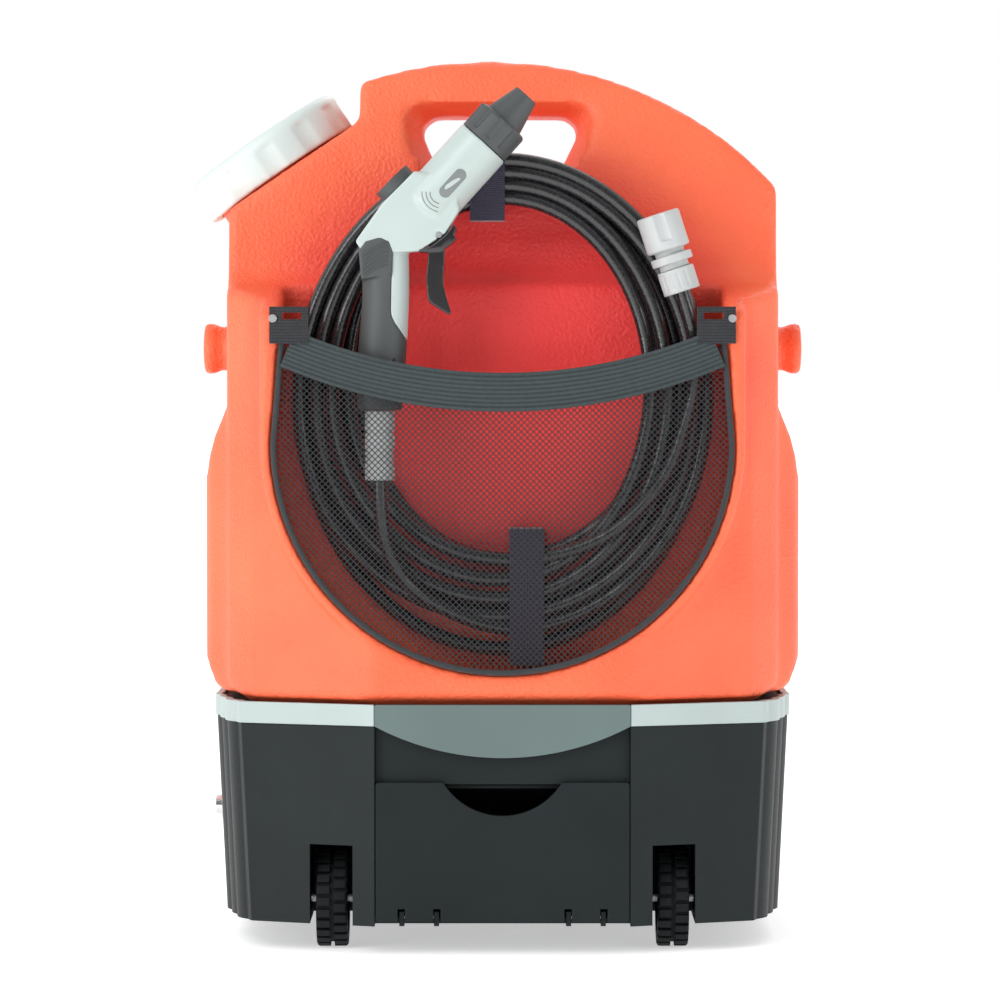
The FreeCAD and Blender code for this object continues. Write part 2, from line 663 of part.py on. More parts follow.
def make_storage():
    """Fixed panel, drop-down door with its pins, and the tray behind them."""
    opening = DOOR_HALF_WIDTH + DOOR_GAP
    keep("front_panel", block(-opening + 0.3, opening - 0.3, FRONT + PANEL_RECESS,
                              FRONT + PANEL_RECESS + 2.5, DOOR_TOP - 1.5, BASE_TOP - 0.2))
    half = DOOR_HALF_WIDTH
    door = prism([(half, DOOR_BOTTOM, 2.0), (half, DOOR_TOP, 2.0), (NOTCH_HALF, DOOR_TOP, 0.0),
                  (0.0, DOOR_TOP - NOTCH_DEPTH), (-NOTCH_HALF, DOOR_TOP, 0.0),
                  (-half, DOOR_TOP, 2.0), (-half, DOOR_BOTTOM, 2.0)],
                 front_view, FRONT, FRONT + DOOR_THICK)
    for x in hinge_spots():
        room = HINGE_WIDTH / 2 + 4.4
        door = door.cut(block(x - room, x + room, FRONT - 1, FRONT + 9, 0, HINGE_Z + 5.0))
        near = x - HINGE_WIDTH / 2
        far = x + HINGE_WIDTH / 2
        leaf = block(near, far, FRONT, FRONT + DOOR_THICK, HINGE_Z - 3.0, HINGE_Z + 6.0)
        arm = block(near, far, FRONT + 1, HINGE_Y, HINGE_Z - 2.6, HINGE_Z + 2.6)
        barrel = rod(HINGE_BARREL_RADIUS, V(near, HINGE_Y, HINGE_Z), V(far, HINGE_Y, HINGE_Z))
        door = door.fuse([leaf, arm, barrel])
    door = door.cut(rod(HINGE_PIN_RADIUS + RUNNING_CLEARANCE, V(-half, HINGE_Y, HINGE_Z),
                        V(half, HINGE_Y, HINGE_Z)))
    keep("storage_door", door)
    pins = []
    for x in hinge_spots():
        reach = HINGE_WIDTH / 2 + 3.4
        pins.append(rod(HINGE_PIN_RADIUS, V(x - reach, HINGE_Y, HINGE_Z), V(x + reach, HINGE_Y, HINGE_Z)))
    wide = DOOR_HALF_WIDTH - 3.0
    front = FRONT + 17.0
    back = front + TRAY_DEPTH - 12.0
    tray = block(-wide, wide, front, back, 29.0, DOOR_TOP - 3.0)
    tray = tray.cut(block(-wide + TRAY_WALL, wide - TRAY_WALL, front - 5, back - TRAY_WALL,
                          29.0 + TRAY_WALL, DOOR_TOP - 3.0 - TRAY_WALL))
    keep("storage_tray", tray)
    return pins


def make_wheels():
    axles = []
    for name, x in (("left", -WHEEL_X), ("right", WHEEL_X)):
        half = WHEEL_WIDTH / 2
        at = lambda along: V(x + along, WHEEL_Y, WHEEL_RADIUS)
        tyre = pipe(WHEEL_RADIUS, TYRE_INNER, at(-half), at(half))
        tyre = softened(tyre, 2.0, lambda e: isinstance(e.Curve, Part.Circle)
                        and abs(e.Curve.Radius - WHEEL_RADIUS) < 0.01)
        tyre = tyre.cut(pipe(WHEEL_RADIUS + 1, WHEEL_RADIUS - TREAD_DEPTH, at(-1.3), at(1.3)))
        slots = []
        for row, side in enumerate((-1, 1)):
            for i in range(TREAD_BLOCKS):
                low, high = sorted((side * 1.0, side * (half + 1)))
                slot = block(low, high, -1.2, 1.2, WHEEL_RADIUS - TREAD_DEPTH, WHEEL_RADIUS + 2)
                slot.rotate(V(0, 0, 0), V(1, 0, 0), 360.0 * (i + 0.5 * row) / TREAD_BLOCKS)
                slot.translate(at(0))
                slots.append(slot)
        tyre = tyre.cut(Part.makeCompound(slots))
        keep("wheel_tyre_" + name, tyre)
        hub = rod(TYRE_INNER - 0.05, at(-half + 1.5), at(half - 1.5))
        for side in (-1, 1):
            hub = hub.cut(pipe(TYRE_INNER - 3.0, 7.0, at(side * (half - 5.5)), at(side * (half + 1))))
        for i in range(6):
            turn = math.radians(60 * i)
            hole = V(0, 13.0 * math.sin(turn), 13.0 * math.cos(turn))
            hub = hub.cut(rod(3.0, at(-half) + hole, at(half) + hole))
        hub = hub.cut(rod(AXLE_RADIUS + RUNNING_CLEARANCE, at(-half), at(half)))
        keep("wheel_hub_" + name, hub)
        reach = WELL_HALF + WELL_WALL
        axles.append(rod(AXLE_RADIUS, at(-reach - 3.0), at(reach + 3.0)))
    keep("axles", *axles)
    clips = []
    for x in (-WHEEL_X, WHEEL_X):
        for side in (-1, 1):
            near = V(x + side * (WELL_HALF + WELL_WALL + 0.3), WHEEL_Y, WHEEL_RADIUS)
            clips.append(pipe(6.0, AXLE_RADIUS + 0.04, near, near + V(side, 0, 0)))
    keep("axle_clips", *clips)
    feet = []
    screws = []
    for x in (-FOOT_AT[0], FOOT_AT[0]):
        at = lambda z: V(x, FOOT_AT[1], z)
        foot = rod(FOOT_RADIUS, at(0), at(BASE_BOTTOM))
        foot = foot.makeFillet(1.5, [e for e in foot.Edges if lies_at(e, "z", 0.0)])
        foot = foot.cut(rod(2.1, at(-1), at(20))).cut(rod(5.0, at(-1), at(6.0)))
        feet.append(foot)
        screws.append(rod(1.95, at(6.0), at(30.0)).fuse(rod(4.4, at(3.0), at(6.0))))
    keep("rear_feet", *feet)
    return screws


def make_drive(foot_screws, outlet_nut):
    """Service plate, battery, pump and motor, their mounts, tubes and leads."""
    x0, x1, y0, y1 = PLATE
    plate_low = BASE_BOTTOM - PLATE_THICK
    plate = block(x0, x1, y0, y1, plate_low, BASE_BOTTOM)
    plate = softened(plate, 6.0, lambda e: e.Vertexes[0].Point.distanceToPoint(e.Vertexes[-1].Point)
                     < PLATE_THICK + 0.01)
    screws = []
    for x, y in plate_screws():
        plate = plate.cut(rod(1.9, V(x, y, 0), V(x, y, 30)))
        screws.append(rod(1.6, V(x, y, plate_low - 0.5), V(x, y, 25.0)).fuse(
            rod(3.4, V(x, y, plate_low - 2.0), V(x, y, plate_low))))
    keep("service_plate", plate)
    keep("base_screws", *screws, *foot_screws)
    bx0, bx1, by0, by1 = BATTERY
    inside = HATCH_RIM * 2 + 1.0
    battery = block(x0 + inside, x1 - inside, y0 + inside, y1 - inside, BASE_BOTTOM + SEAT_GAP, 22.0)
    battery = battery.fuse(block(bx0, bx1, by0, by1, FLOOR_TOP + 10.0, BATTERY_TOP))
    battery = battery.fuse(block(x0 + inside, x1 - inside, y0 + inside, y1 - inside, 20.0, 40.0))
    lugs = [block(x - 4, x + 4, 70, 80, BATTERY_TOP - 1, BATTERY_TOP + 6) for x in (34.0, 118.0)]
    keep("battery_pack", battery.fuse(lugs))
    strap_y = (44.0, 62.0)
    strap = block(bx0 - 3.0, bx1 + 3.0, *strap_y, FLOOR_TOP + SEAT_GAP, BATTERY_TOP + 2.3)
    strap = strap.cut(block(bx0 - 0.8, bx1 + 0.8, 30, 80, 0, BATTERY_TOP + SEAT_GAP))
    keep("battery_strap", strap)
    motor_x = (-94.0, -20.0)
    bracket_top = 31.0
    bracket = block(-136.0, -24.0, PUMP_Y - 26, PUMP_Y + 26, bracket_top - 3.0, bracket_top)
    for x in (-86.0, -38.0):
        bracket = bracket.fuse(block(x, x + 5.0, PUMP_Y - 20, PUMP_Y + 20, bracket_top - 1, 48.0))
    bracket = bracket.cut(rod(MOTOR_RADIUS + SEAT_GAP, V(-94.0, PUMP_Y, PUMP_Z), V(0, PUMP_Y, PUMP_Z)))
    mount_spots = [(x, PUMP_Y + dy) for x in (-126.0, -34.0) for dy in (-19.0, 19.0)]
    keep("pump_mounts", *[rod(6.0, V(x, y, FLOOR_TOP), V(x, y, bracket_top - 3.0)) for x, y in mount_spots])
    keep("pump_bracket", bracket)
    motor = rod(MOTOR_RADIUS, V(motor_x[0], PUMP_Y, PUMP_Z), V(motor_x[1], PUMP_Y, PUMP_Z))
    motor = motor.makeFillet(3.0, [e for e in motor.Edges if lies_at(e, "x", motor_x[1])])
    motor = motor.fuse(rod(8.0, V(motor_x[1] - 1, PUMP_Y, PUMP_Z), V(motor_x[1] + 4, PUMP_Y, PUMP_Z)))
    keep("pump_motor", motor)
    head_x = (-136.0, motor_x[0] - SEAT_GAP)
    head = block(*head_x, PUMP_Y - 25, PUMP_Y + 25, bracket_top + SEAT_GAP, 86.0)
    head = softened(head, 4.0, lambda e: abs(e.Vertexes[0].Point.x - e.Vertexes[-1].Point.x) > 1.0)
    spigot = rod(6.2, V(OUTLET_X, PUMP_Y, 85.0), V(OUTLET_X, PUMP_Y, 104.0))
    outlet = rod(6.2, V(OUTLET_X, PUMP_Y - 24, PUMP_Z), V(OUTLET_X, PUMP_Y - 32, PUMP_Z))
    keep("pump_head", head.fuse([spigot, outlet]))
    suction = pipe(8.6, 6.3, V(OUTLET_X, PUMP_Y, 87.0), V(OUTLET_X, PUMP_Y, 141.0))
    pressure = hose("pressure_tube", [
        V(OUTLET_X, PUMP_Y - 32, PUMP_Z), V(OUTLET_X, 12.0, PUMP_Z), V(-119.0, -6.0, 71.0),
        V(-136.0, NIPPLE_Y, NIPPLE_Z), V(-153.0, NIPPLE_Y, NIPPLE_Z)], 8.0)
    keep("pump_tubes", suction, pressure)
    side = -(BASE_HALF_WIDTH - BASE_DRAFT * (BASE_TOP - NIPPLE_Z) / (BASE_TOP - BASE_BOTTOM))
    at = lambda x: V(x, NIPPLE_Y, NIPPLE_Z)
    nipple = rod(NIPPLE_RADIUS, at(-153.0), at(side - 6.0)).fuse(rod(9.5, at(side - 0.6), at(side - 2.2)))
    nipple = nipple.cut(rod(4.0, at(-150.0), at(side - 9.0)))
    keep("outlet_nipple", nipple)
    keep("clamp_nuts", outlet_nut, pipe(10.0, NIPPLE_RADIUS + 0.05, at(-166.2), at(-161.5)))
    switch_lead = hose("switch_lead", [
        V(118.0, 80.3, BATTERY_TOP + 3), V(118.0, 93.0, BATTERY_TOP + 3), V(112.0, 105.0, 104.0),
        V(99.0, 110.0, 99.0), V(86.0, 111.0, 97.0), V(75.0, 112.0, 96.0), V(68.5, 117.5, 96.0),
        V(68.0, BACK - 18.3, 96.0)], 3.0)
    motor_lead = hose("motor_lead", [
        V(-15.7, PUMP_Y, PUMP_Z), V(-3.0, PUMP_Y, PUMP_Z), V(4.0, 78.0, 69.0), V(8.0, 96.0, 82.0),
        V(24.0, 102.0, 90.0), V(38.0, 104.0, 94.0), V(50.0, 109.0, 96.0), V(56.0, 117.0, 96.0),
        V(56.0, BACK - 18.3, 96.0)], 3.0)
    keep("power_leads", switch_lead, motor_lead)


def make_rear_controls(door_pins):
    sx, sz = SWITCH_AT
    wide, tall = SWITCH_SIZE
    frame = block(sx - wide / 2 + 0.2, sx + wide / 2 - 0.2, BACK - 18, BACK + 1,
                  sz - tall / 2 + 0.2, sz + tall / 2 - 0.2)
    frame = frame.fuse(block(sx - wide / 2 - 3, sx + wide / 2 + 3, BACK, BACK + 2,
                             sz - tall / 2 - 3, sz + tall / 2 + 3))
    frame = frame.cut(block(sx - wide / 2 + 3, sx + wide / 2 - 3, BACK - 12, BACK + 5,
                            sz - tall / 2 + 3, sz + tall / 2 - 3))
    frame = frame.cut(rod(1.55, V(sx - wide, BACK - 2, sz), V(sx + wide, BACK - 2, sz)))
    keep("switch_frame", frame)
    reach = tall / 2 - 4.4
    rocker = prism([(BACK - 5.0, sz - reach + 1.5, 0.0), (BACK + 3.6, sz - reach + 0.3, 1.0),
                    (BACK + 1.4, sz, 0.0), (BACK + 3.6, sz + reach - 0.3, 1.0),
                    (BACK - 5.0, sz + reach - 1.5, 0.0)], side_view, sx - wide / 2 + 3.4,
                   sx + wide / 2 - 3.4)
    rocker = rocker.fuse(rod(1.5, V(sx - wide / 2 + 1, BACK - 2, sz), V(sx + wide / 2 - 1, BACK - 2, sz)))
    keep("power_rocker", rocker)
    cx, cz = SOCKET_AT
    at = lambda y: V(cx, y, cz)
    socket = rod(SOCKET_RADIUS, at(BACK - 16), at(BACK + 1)).fuse(rod(14.0, at(BACK), at(BACK + 1.8)))
    socket = socket.cut(rod(5.5, at(BACK - 8), at(BACK + 5)))
    socket = socket.fuse(rod(1.2, at(BACK - 9), at(BACK + 0.5)))
    ears = [block(cx + s * 5.2 - 1.2, cx + s * 5.2 + 1.2, BACK, BACK + 6.2, cz + 12.0, cz + 15.5)
            for s in (-1, 1)]
    socket = socket.fuse(ears)
    pivot = (BACK + 4.0, cz + 13.2)
    pin_hole = rod(1.05, V(cx - 8, *pivot), V(cx + 8, *pivot))
    keep("charge_socket", socket.cut(pin_hole))
    cover = rod(11.6, at(BACK + 2.1), at(BACK + 4.6))
    cover = cover.makeFillet(1.0, [e for e in cover.Edges if lies_at(e, "y", BACK + 4.6)])
    cover = cover.fuse([rod(4.6, at(BACK - 1.0), at(BACK + 3.0)).cut(rod(2.4, at(BACK - 2), at(BACK + 1.5))),
                        block(cx - 3.6, cx + 3.6, BACK + 2.1, BACK + 4.4, cz + 10.0, cz + 13.2),
                        rod(1.9, V(cx - 3.6, *pivot), V(cx + 3.6, *pivot))])
    cover = cover.cut(rod(1.05, V(cx - 8, *pivot), V(cx + 8, *pivot)))
    keep("charge_cover", cover)
    keep("hinge_pins", *door_pins, rod(1.0, V(cx - 6.2, *pivot), V(cx + 6.2, *pivot)))


# ---- net pocket ----------------------------------------------------------------------

def recess_half(z):
    """Half width of the recess at a height above its round part."""
    share = (z - RECESS_Z) / (LEDGE_FRONT_Z - RECESS_Z)
    return RECESS_RADIUS + share * (RECESS_MOUTH_HALF - RECESS_RADIUS)


def make_pocket():
    bead = 1.7
    reach = bead + SEAT_GAP
    top = 372.0
    low = RECESS_RADIUS - reach
    spine = Part.Wire([
        Part.makeLine(V(-recess_half(top) + reach, NET_EDGE_Y, top), V(-low, NET_EDGE_Y, RECESS_Z)),
        Part.Arc(V(-low, NET_EDGE_Y, RECESS_Z), V(0, NET_EDGE_Y, RECESS_Z - low),
                 V(low, NET_EDGE_Y, RECESS_Z)).toShape(),
        Part.makeLine(V(low, NET_EDGE_Y, RECESS_Z), V(recess_half(top) - reach, NET_EDGE_Y, top))])
    start = spine.Vertexes[0].Point
    ring = Part.Wire(Part.makeCircle(bead, start, spine.Edges[0].tangentAt(0)))
    keep("net_bead", spine.makePipeShell([ring], True, False))
    inside = low - bead - 0.3
    edge_x = recess_half(top) - reach - bead - 0.3
    sag = BAND_ARC_Z - 8.0
    sheet = prism([(inside, RECESS_Z, 0.0), (edge_x, sag + BAND_RISE, 0.0), (0.0, sag),
                   (-edge_x, sag + BAND_RISE, 0.0), (-inside, RECESS_Z, 0.0),
                   (0.0, RECESS_Z - inside)], front_view, -170.0, -120.0)
    depth = NET_EDGE_Y - NET_FRONT_Y
    ball = (inside ** 2 + depth ** 2) / (2 * depth)
    centre = V(0, NET_FRONT_Y + ball, RECESS_Z)
    skin = Part.makeSphere(ball, centre).cut(Part.makeSphere(ball - NET_THICK, centre))
    keep("net_pocket", sheet.common(skin))
    half = ELASTIC_HEIGHT / 2
    end_x = BAND_HALF_SPAN
    end_z = BAND_ARC_Z + BAND_RISE
    lean = math.atan2(2 * BAND_RISE, end_x)
    tip = V(half * math.sin(lean), 0, half * math.cos(lean))
    band = prism([(end_x - tip.x, end_z + tip.z, 0.0), (0.0, BAND_ARC_Z + half),
                  (-end_x + tip.x, end_z + tip.z, 0.0), (-end_x - tip.x, end_z - tip.z, 0.0),
                  (0.0, BAND_ARC_Z - half), (end_x + tip.x, end_z - tip.z, 0.0)], front_view,
                 NET_FRONT_Y - SEAT_GAP - ELASTIC_THICK, NET_FRONT_Y - SEAT_GAP)
    keep("elastic_band", band)
    tab = block(116.0, 139.0, NET_FRONT_Y + 0.1, FRONT - 0.7, 366.0, 388.0)
    rivet = rod(2.4, V(137.0, FRONT - 4.6, 381.0), V(137.0, FRONT + 1.0, 381.0))
    tab = tab.cut(block(120.0, 131.5, FRONT - 9, FRONT + 9, 380.5, 384.5))
    tab = tab.cut(rod(2.6, V(137.0, -160, 381.0), V(137.0, -140, 381.0)))
    keep("pocket_tabs", *both_sides(tab))
    keep("tab_rivets", *both_sides(rivet.cut(rod(5.0, V(137.0, FRONT, 381.0), V(137.0, -130, 381.0)))))


# ---- hose, connector and gun -----------------------------------------------------------

def oval(half_x, low, high, y):
    middle = (low + high) / 2
    tall = high - middle
    curve = Part.Ellipse(V(0, y, high), V(half_x, y, middle), V(0, y, middle)) if tall > half_x \
        else Part.Ellipse(V(half_x, y, middle), V(0, y, high), V(0, y, middle))
    return Part.Face(Part.Wire(curve.toShape()))


GUN_END = V(GRIP_X - 2.1, GUN_Y, GUN_END_BOTTOM)
CONNECTOR_Y = -121.0
CONNECTOR_FOOT = V(108.1, CONNECTOR_Y, 397.1)
CONNECTOR_TILT = 18.0
CONNECTOR_AXIS = V(-math.sin(math.radians(CONNECTOR_TILT)), 0, math.cos(math.radians(CONNECTOR_TILT)))

# the loose ends of the hose, chosen by hand
GUN_TAIL = [
    GUN_END,
    GUN_END - V(0, 0, 26.0),
    V(-66.0, -117.0, 232.0),
    V(-50.0, -110.0, 212.0),
]
CONNECTOR_TAIL = [
    CONNECTOR_FOOT,
    CONNECTOR_FOOT - CONNECTOR_AXIS * 25.0,
    V(117.5, -114.0, 347.0),
    V(112.0, -110.0, 322.0),
]


def make_hose():
    coil = oval(COIL_HALF_WIDTH, COIL_BOTTOM, COIL_TOP, COIL_FRONT).extrude(V(0, COIL_BACK - COIL_FRONT, 0))
    hole = oval(COIL_HOLE_HALF, COIL_HOLE_BOTTOM, COIL_HOLE_TOP, COIL_FRONT - 5)
    coil = coil.cut(hole.extrude(V(0, COIL_BACK - COIL_FRONT + 10, 0)))
    coil = coil.makeFillet(5.0, [e for e in coil.Edges if e.Length > 100])
    keep("hose_coil", coil)
    keep("hose_gun_end", hose("hose_gun_end", GUN_TAIL, HOSE_DIAMETER))
    keep("hose_connector_end", hose("hose_connector_end", CONNECTOR_TAIL, HOSE_DIAMETER))
    ties = []
    for x, low, high in ((-19.7, COIL_HOLE_TOP - 4.2, COIL_TOP), (4.0, COIL_BOTTOM, COIL_HOLE_BOTTOM + 6.5)):
        near = COIL_FRONT - SEAT_GAP
        far = COIL_BACK + SEAT_GAP
        wrap = block(x, x + TIE_WIDTH, near - TIE_THICK, far + TIE_THICK,
                     low - SEAT_GAP - TIE_THICK, high + SEAT_GAP + TIE_THICK)
        ties.append(wrap.cut(block(x - 1, x + TIE_WIDTH + 1, near, far, low - SEAT_GAP, high + SEAT_GAP)))
    keep("hose_ties", *ties)


def make_connector():
    at = lambda along: CONNECTOR_FOOT + CONNECTOR_AXIS * along
    nut = rod(11.2, at(0.0), at(14.5))
    across = V(0, 1, 0)
    beside = CONNECTOR_AXIS.cross(across)
    for i in range(14):
        turn = 2 * math.pi * i / 14
        out = (across * math.cos(turn) + beside * math.sin(turn)) * 12.0
        nut = nut.cut(rod(1.3, at(2.0) + out, at(12.5) + out))
    keep("connector_nut", nut)
    keep("connector_collar", pipe(12.6, 9.4, at(18.2), at(23.2)))
    body = rod(9.0, at(14.5), at(28.0)).fuse(rod(13.2, at(26.4), at(49.0)))
    body = softened(body, 1.6, lambda e: isinstance(e.Curve, Part.Circle) and e.Curve.Radius > 13.0)
    body = body.cut(rod(9.6, at(38.0), at(50.0)))
    for side in (-1, 1):
        out = across * (side * 18.6)
        body = body.cut(rod(7.0, at(32.0) + out, at(50.0) + out))
    keep("connector_socket", body)


BARREL_AXIS = V(BARREL_END[0] - BARREL_START[0], 0, BARREL_END[1] - BARREL_START[1]).normalize()
BARREL_FOOT = V(BARREL_START[0], GUN_Y, BARREL_START[1])
BARREL_LENGTH = math.dist(BARREL_START, BARREL_END)
KNOB_AXIS = V(-1, 0, 1).normalize()
KNOB_FOOT = V(-62.2, GUN_Y, 459.5)


def along_barrel(distance):
    return BARREL_FOOT + BARREL_AXIS * distance


def grip_section(x, z, half_x):
    curve = Part.Ellipse(V(x + half_x, GUN_Y, z), V(x, GUN_Y + GRIP_HALF_Y, z), V(x, GUN_Y, z))
    return Part.Wire(curve.toShape())


def make_gun():
    barrel = rod(BARREL_RADIUS, along_barrel(-9.0), along_barrel(BARREL_LENGTH))
    barrel = softened(barrel, 5.0, lambda e: isinstance(e.Curve, Part.Circle)
                      and e.Curve.Center.distanceToPoint(along_barrel(-9.0)) < 0.01)
    housing = prism([(-88.0, 427.1, 1.5), (-83.0, 419.5, 2.0), (-50.0, 421.0, 2.0),
                     (-33.9, 432.0, 6.0), (-25.5, 446.0, 3.0), (-31.5, 464.3, 0.0),
                     (-52.6, 469.1, 2.0), (-71.8, 449.9, 3.0)],
                    front_view, GUN_Y - GUN_HALF_THICK, GUN_Y + GUN_HALF_THICK)
    grip = Part.makeLoft([grip_section(GRIP_X, GRIP_TOP_Z, GRIP_HALF_X),
                          grip_section(GRIP_X + 1.0, 385.0, GRIP_HALF_X - 0.8),
                          grip_section(GRIP_X - 1.5, 350.0, GRIP_HALF_X - 0.4),
                          grip_section(GRIP_X - 2.1, GRIP_BOTTOM_Z, GRIP_HALF_X - 1.5)], True, False)
    front_strip = prism([(-65.5, 440.0, 0.0), (-67.0, 382.0, 14.0), (-57.0, 367.0, 2.0),
                         (-45.0, 366.0, 0.0), (-45.0, 440.0, 0.0)], front_view, GUN_Y - 30, GUN_Y + 30)
    keep("gun_grip", grip.cut(front_strip).cut(housing))
    body = housing.fuse([barrel, grip.common(front_strip)])
    pivot = V(TRIGGER_PIVOT[0], GUN_Y, TRIGGER_PIVOT[1])
    slot_half = TRIGGER_WIDTH / 2 + 0.4
    slot_far = slot_half + 2.2
    body = body.cut(block(pivot.x - 9.5, pivot.x + 9.5, GUN_Y - slot_half, GUN_Y + slot_far,
                          pivot.z - 16.0, pivot.z + 8.5))
    hole = rod(GUN_PIN_RADIUS + RUNNING_CLEARANCE, pivot - V(0, 30, 0), pivot + V(0, 30, 0))
    body = body.cut(hole)
    keep("gun_body", body)
    reach = V(0, GUN_HALF_THICK - 0.5, 0)
    keep("trigger_pin", rod(GUN_PIN_RADIUS, pivot - reach, pivot + reach))
    keep("trigger_spring", pipe(3.6, GUN_PIN_RADIUS + 0.15, pivot + V(0, TRIGGER_WIDTH / 2 + 0.3, 0),
                                pivot + V(0, TRIGGER_WIDTH / 2 + 2.1, 0)))
    lever = prism([(-43.5, 431.0, 0.0), (-45.8, 404.0, 20.0), (-44.7, 391.0, 6.0), (-29.7, 381.5, 1.5),
                   (-33.6, 394.0, 5.0), (-35.5, 402.0, 10.0), (-34.0, 431.0, 0.0)], front_view,
                  GUN_Y - TRIGGER_WIDTH / 2, GUN_Y + TRIGGER_WIDTH / 2)
    lever = lever.fuse(rod(6.0, pivot - V(0, TRIGGER_WIDTH / 2, 0), pivot + V(0, TRIGGER_WIDTH / 2, 0)))
    lever = lever.cut(hole)
    keep("trigger", lever)
    ring_foot = BARREL_LENGTH + 0.4
    ring_end = ring_foot + NOZZLE_RING_LENGTH
    ring = rod(BARREL_RADIUS - 0.4, along_barrel(ring_foot), along_barrel(ring_end))
    ring = softened(ring, 2.5, lambda e: isinstance(e.Curve, Part.Circle)
                    and e.Curve.Center.distanceToPoint(along_barrel(ring_end)) < 0.01)
    across = V(0, 1, 0)
    beside = BARREL_AXIS.cross(across)
    for i in range(10):
        turn = 2 * math.pi * i / 10
        out = (across * math.cos(turn) + beside * math.sin(turn)) * (BARREL_RADIUS + 1.2)
        ring = ring.cut(rod(2.4, along_barrel(ring_foot + 3) + out, along_barrel(ring_end + 2) + out))
    keep("nozzle_ring", ring)
    tip = Part.makeCone(12.6, 7.6, NOZZLE_TIP_LENGTH, along_barrel(ring_end), BARREL_AXIS)
    tip = tip.cut(rod(4.2, along_barrel(ring_end + 6), along_barrel(ring_end + 40)))
    keep("nozzle_tip", tip)
    knob = rod(KNOB_RADIUS, KNOB_FOOT + KNOB_AXIS * 0.3, KNOB_FOOT + KNOB_AXIS * 6.5)
    knob = knob.cut(pipe(9.0, 5.0, KNOB_FOOT + KNOB_AXIS * 4.5, KNOB_FOOT + KNOB_AXIS * 8))
    keep("flow_knob", knob)
    at = lambda z: V(GUN_END.x, GUN_Y, z)
    low = GUN_END_BOTTOM
    high = GRIP_BOTTOM_Z - SEAT_GAP
    end = rod(GUN_END_RADIUS, at(low), at(high))
    for z in (low + 10.0, low + 13.5, low + 17.0, low + 28.0):
        end = end.cut(pipe(GUN_END_RADIUS + 1, GUN_END_RADIUS - 1.2, at(z), at(z + 1.6)))
    keep("gun_hose_nut", end)


make_tank()
make_cap()
outlet_nut = make_outlet()
make_base_shell()
make_deck()
door_pins = make_storage()
foot_screws = make_wheels()
make_drive(foot_screws, outlet_nut)
make_rear_controls(door_pins)
make_pocket()
make_hose()
make_connector()
make_gun()

os.makedirs("parts", exist_ok=True)
for name, shape in SOLIDS.items():
    shape.exportStep("parts/" + name + ".step")
    print(name, shape.ShapeType, len(shape.Solids), "solids", shape.isValid(),
          round(shape.Volume / 1000, 2), "cm3")
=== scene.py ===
# %% [markdown]
# # A tank pressure washer, dressed over its CAD frame
#
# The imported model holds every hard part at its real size. This script loads it as a fixed
# frame and gives each part its looks: softened mouldings, grained plastics, a wound hose,
# a net pocket and a spray gun. Everything is in metres, in the frame's own axes: +Z is up
# and the front of the machine faces -Y. We begin by loading the frame and by measuring it,
# because the visual model has to stay inside the CAD model's box.

# %% Load the frame
import math
import bpy
from mathutils import Matrix, Vector


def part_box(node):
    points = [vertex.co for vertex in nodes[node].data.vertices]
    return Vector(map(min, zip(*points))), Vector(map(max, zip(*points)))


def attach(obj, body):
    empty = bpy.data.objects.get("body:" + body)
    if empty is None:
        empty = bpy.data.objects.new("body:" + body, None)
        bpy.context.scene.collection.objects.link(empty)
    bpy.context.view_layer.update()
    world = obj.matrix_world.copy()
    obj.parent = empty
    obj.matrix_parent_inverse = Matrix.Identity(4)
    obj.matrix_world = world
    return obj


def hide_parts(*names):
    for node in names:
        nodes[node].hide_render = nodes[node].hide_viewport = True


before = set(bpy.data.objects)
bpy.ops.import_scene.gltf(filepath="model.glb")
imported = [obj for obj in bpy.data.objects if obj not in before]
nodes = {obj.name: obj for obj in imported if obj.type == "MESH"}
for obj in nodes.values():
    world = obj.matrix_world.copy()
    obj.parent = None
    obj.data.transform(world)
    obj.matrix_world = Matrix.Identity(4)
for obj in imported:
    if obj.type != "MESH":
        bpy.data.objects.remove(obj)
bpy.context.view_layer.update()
bpy.ops.object.select_all(action="DESELECT")

# %% [markdown]
# ## Small helpers for hand modelling
#
# Operators act on whatever is selected, so each helper first deselects everything and then
# picks its own piece. `shaped` applies one modifier with given settings, `picked` selects
# vertices by a rule on their place, and `placed` turns and moves a finished piece and then
# writes its place into its mesh, so that the object itself sits at the origin.

# %% Selecting, editing and finishing
MM = 0.001


def alone(piece):
    if bpy.context.object and bpy.context.object.mode != "OBJECT":
        bpy.ops.object.mode_set(mode="OBJECT")
    bpy.ops.object.select_all(action="DESELECT")
    piece.select_set(True)
    bpy.context.view_layer.objects.active = piece
    return piece


def newest(name):
    piece = bpy.context.object
    piece.name = name
    piece.data.name = name
    return alone(piece)


def shaped(piece, kind, **settings):
    alone(piece)
    modifier = piece.modifiers.new(kind.lower(), kind)
    for key, value in settings.items():
        setattr(modifier, key, value)
    bpy.ops.object.modifier_apply(modifier=modifier.name)
    return piece


def picked(piece, rule, mode="VERT"):
    """Enters edit mode with only what passes the rule selected."""
    alone(piece)
    bpy.ops.object.mode_set(mode="EDIT")
    bpy.ops.mesh.select_mode(type=mode)
    bpy.ops.mesh.select_all(action="DESELECT")
    bpy.ops.object.mode_set(mode="OBJECT")
    items = {"VERT": piece.data.vertices, "EDGE": piece.data.edges, "FACE": piece.data.polygons}[mode]
    count = 0
    for item in items:
        if rule(item):
            item.select = True
            count += 1
    bpy.ops.object.mode_set(mode="EDIT")
    return count


def done_editing():
    bpy.ops.object.mode_set(mode="OBJECT")


def placed(piece, matrix=None):
    alone(piece)
    if matrix is not None:
        piece.matrix_world = matrix @ piece.matrix_world
    bpy.ops.object.transform_apply(location=True, rotation=True, scale=True)
    return piece


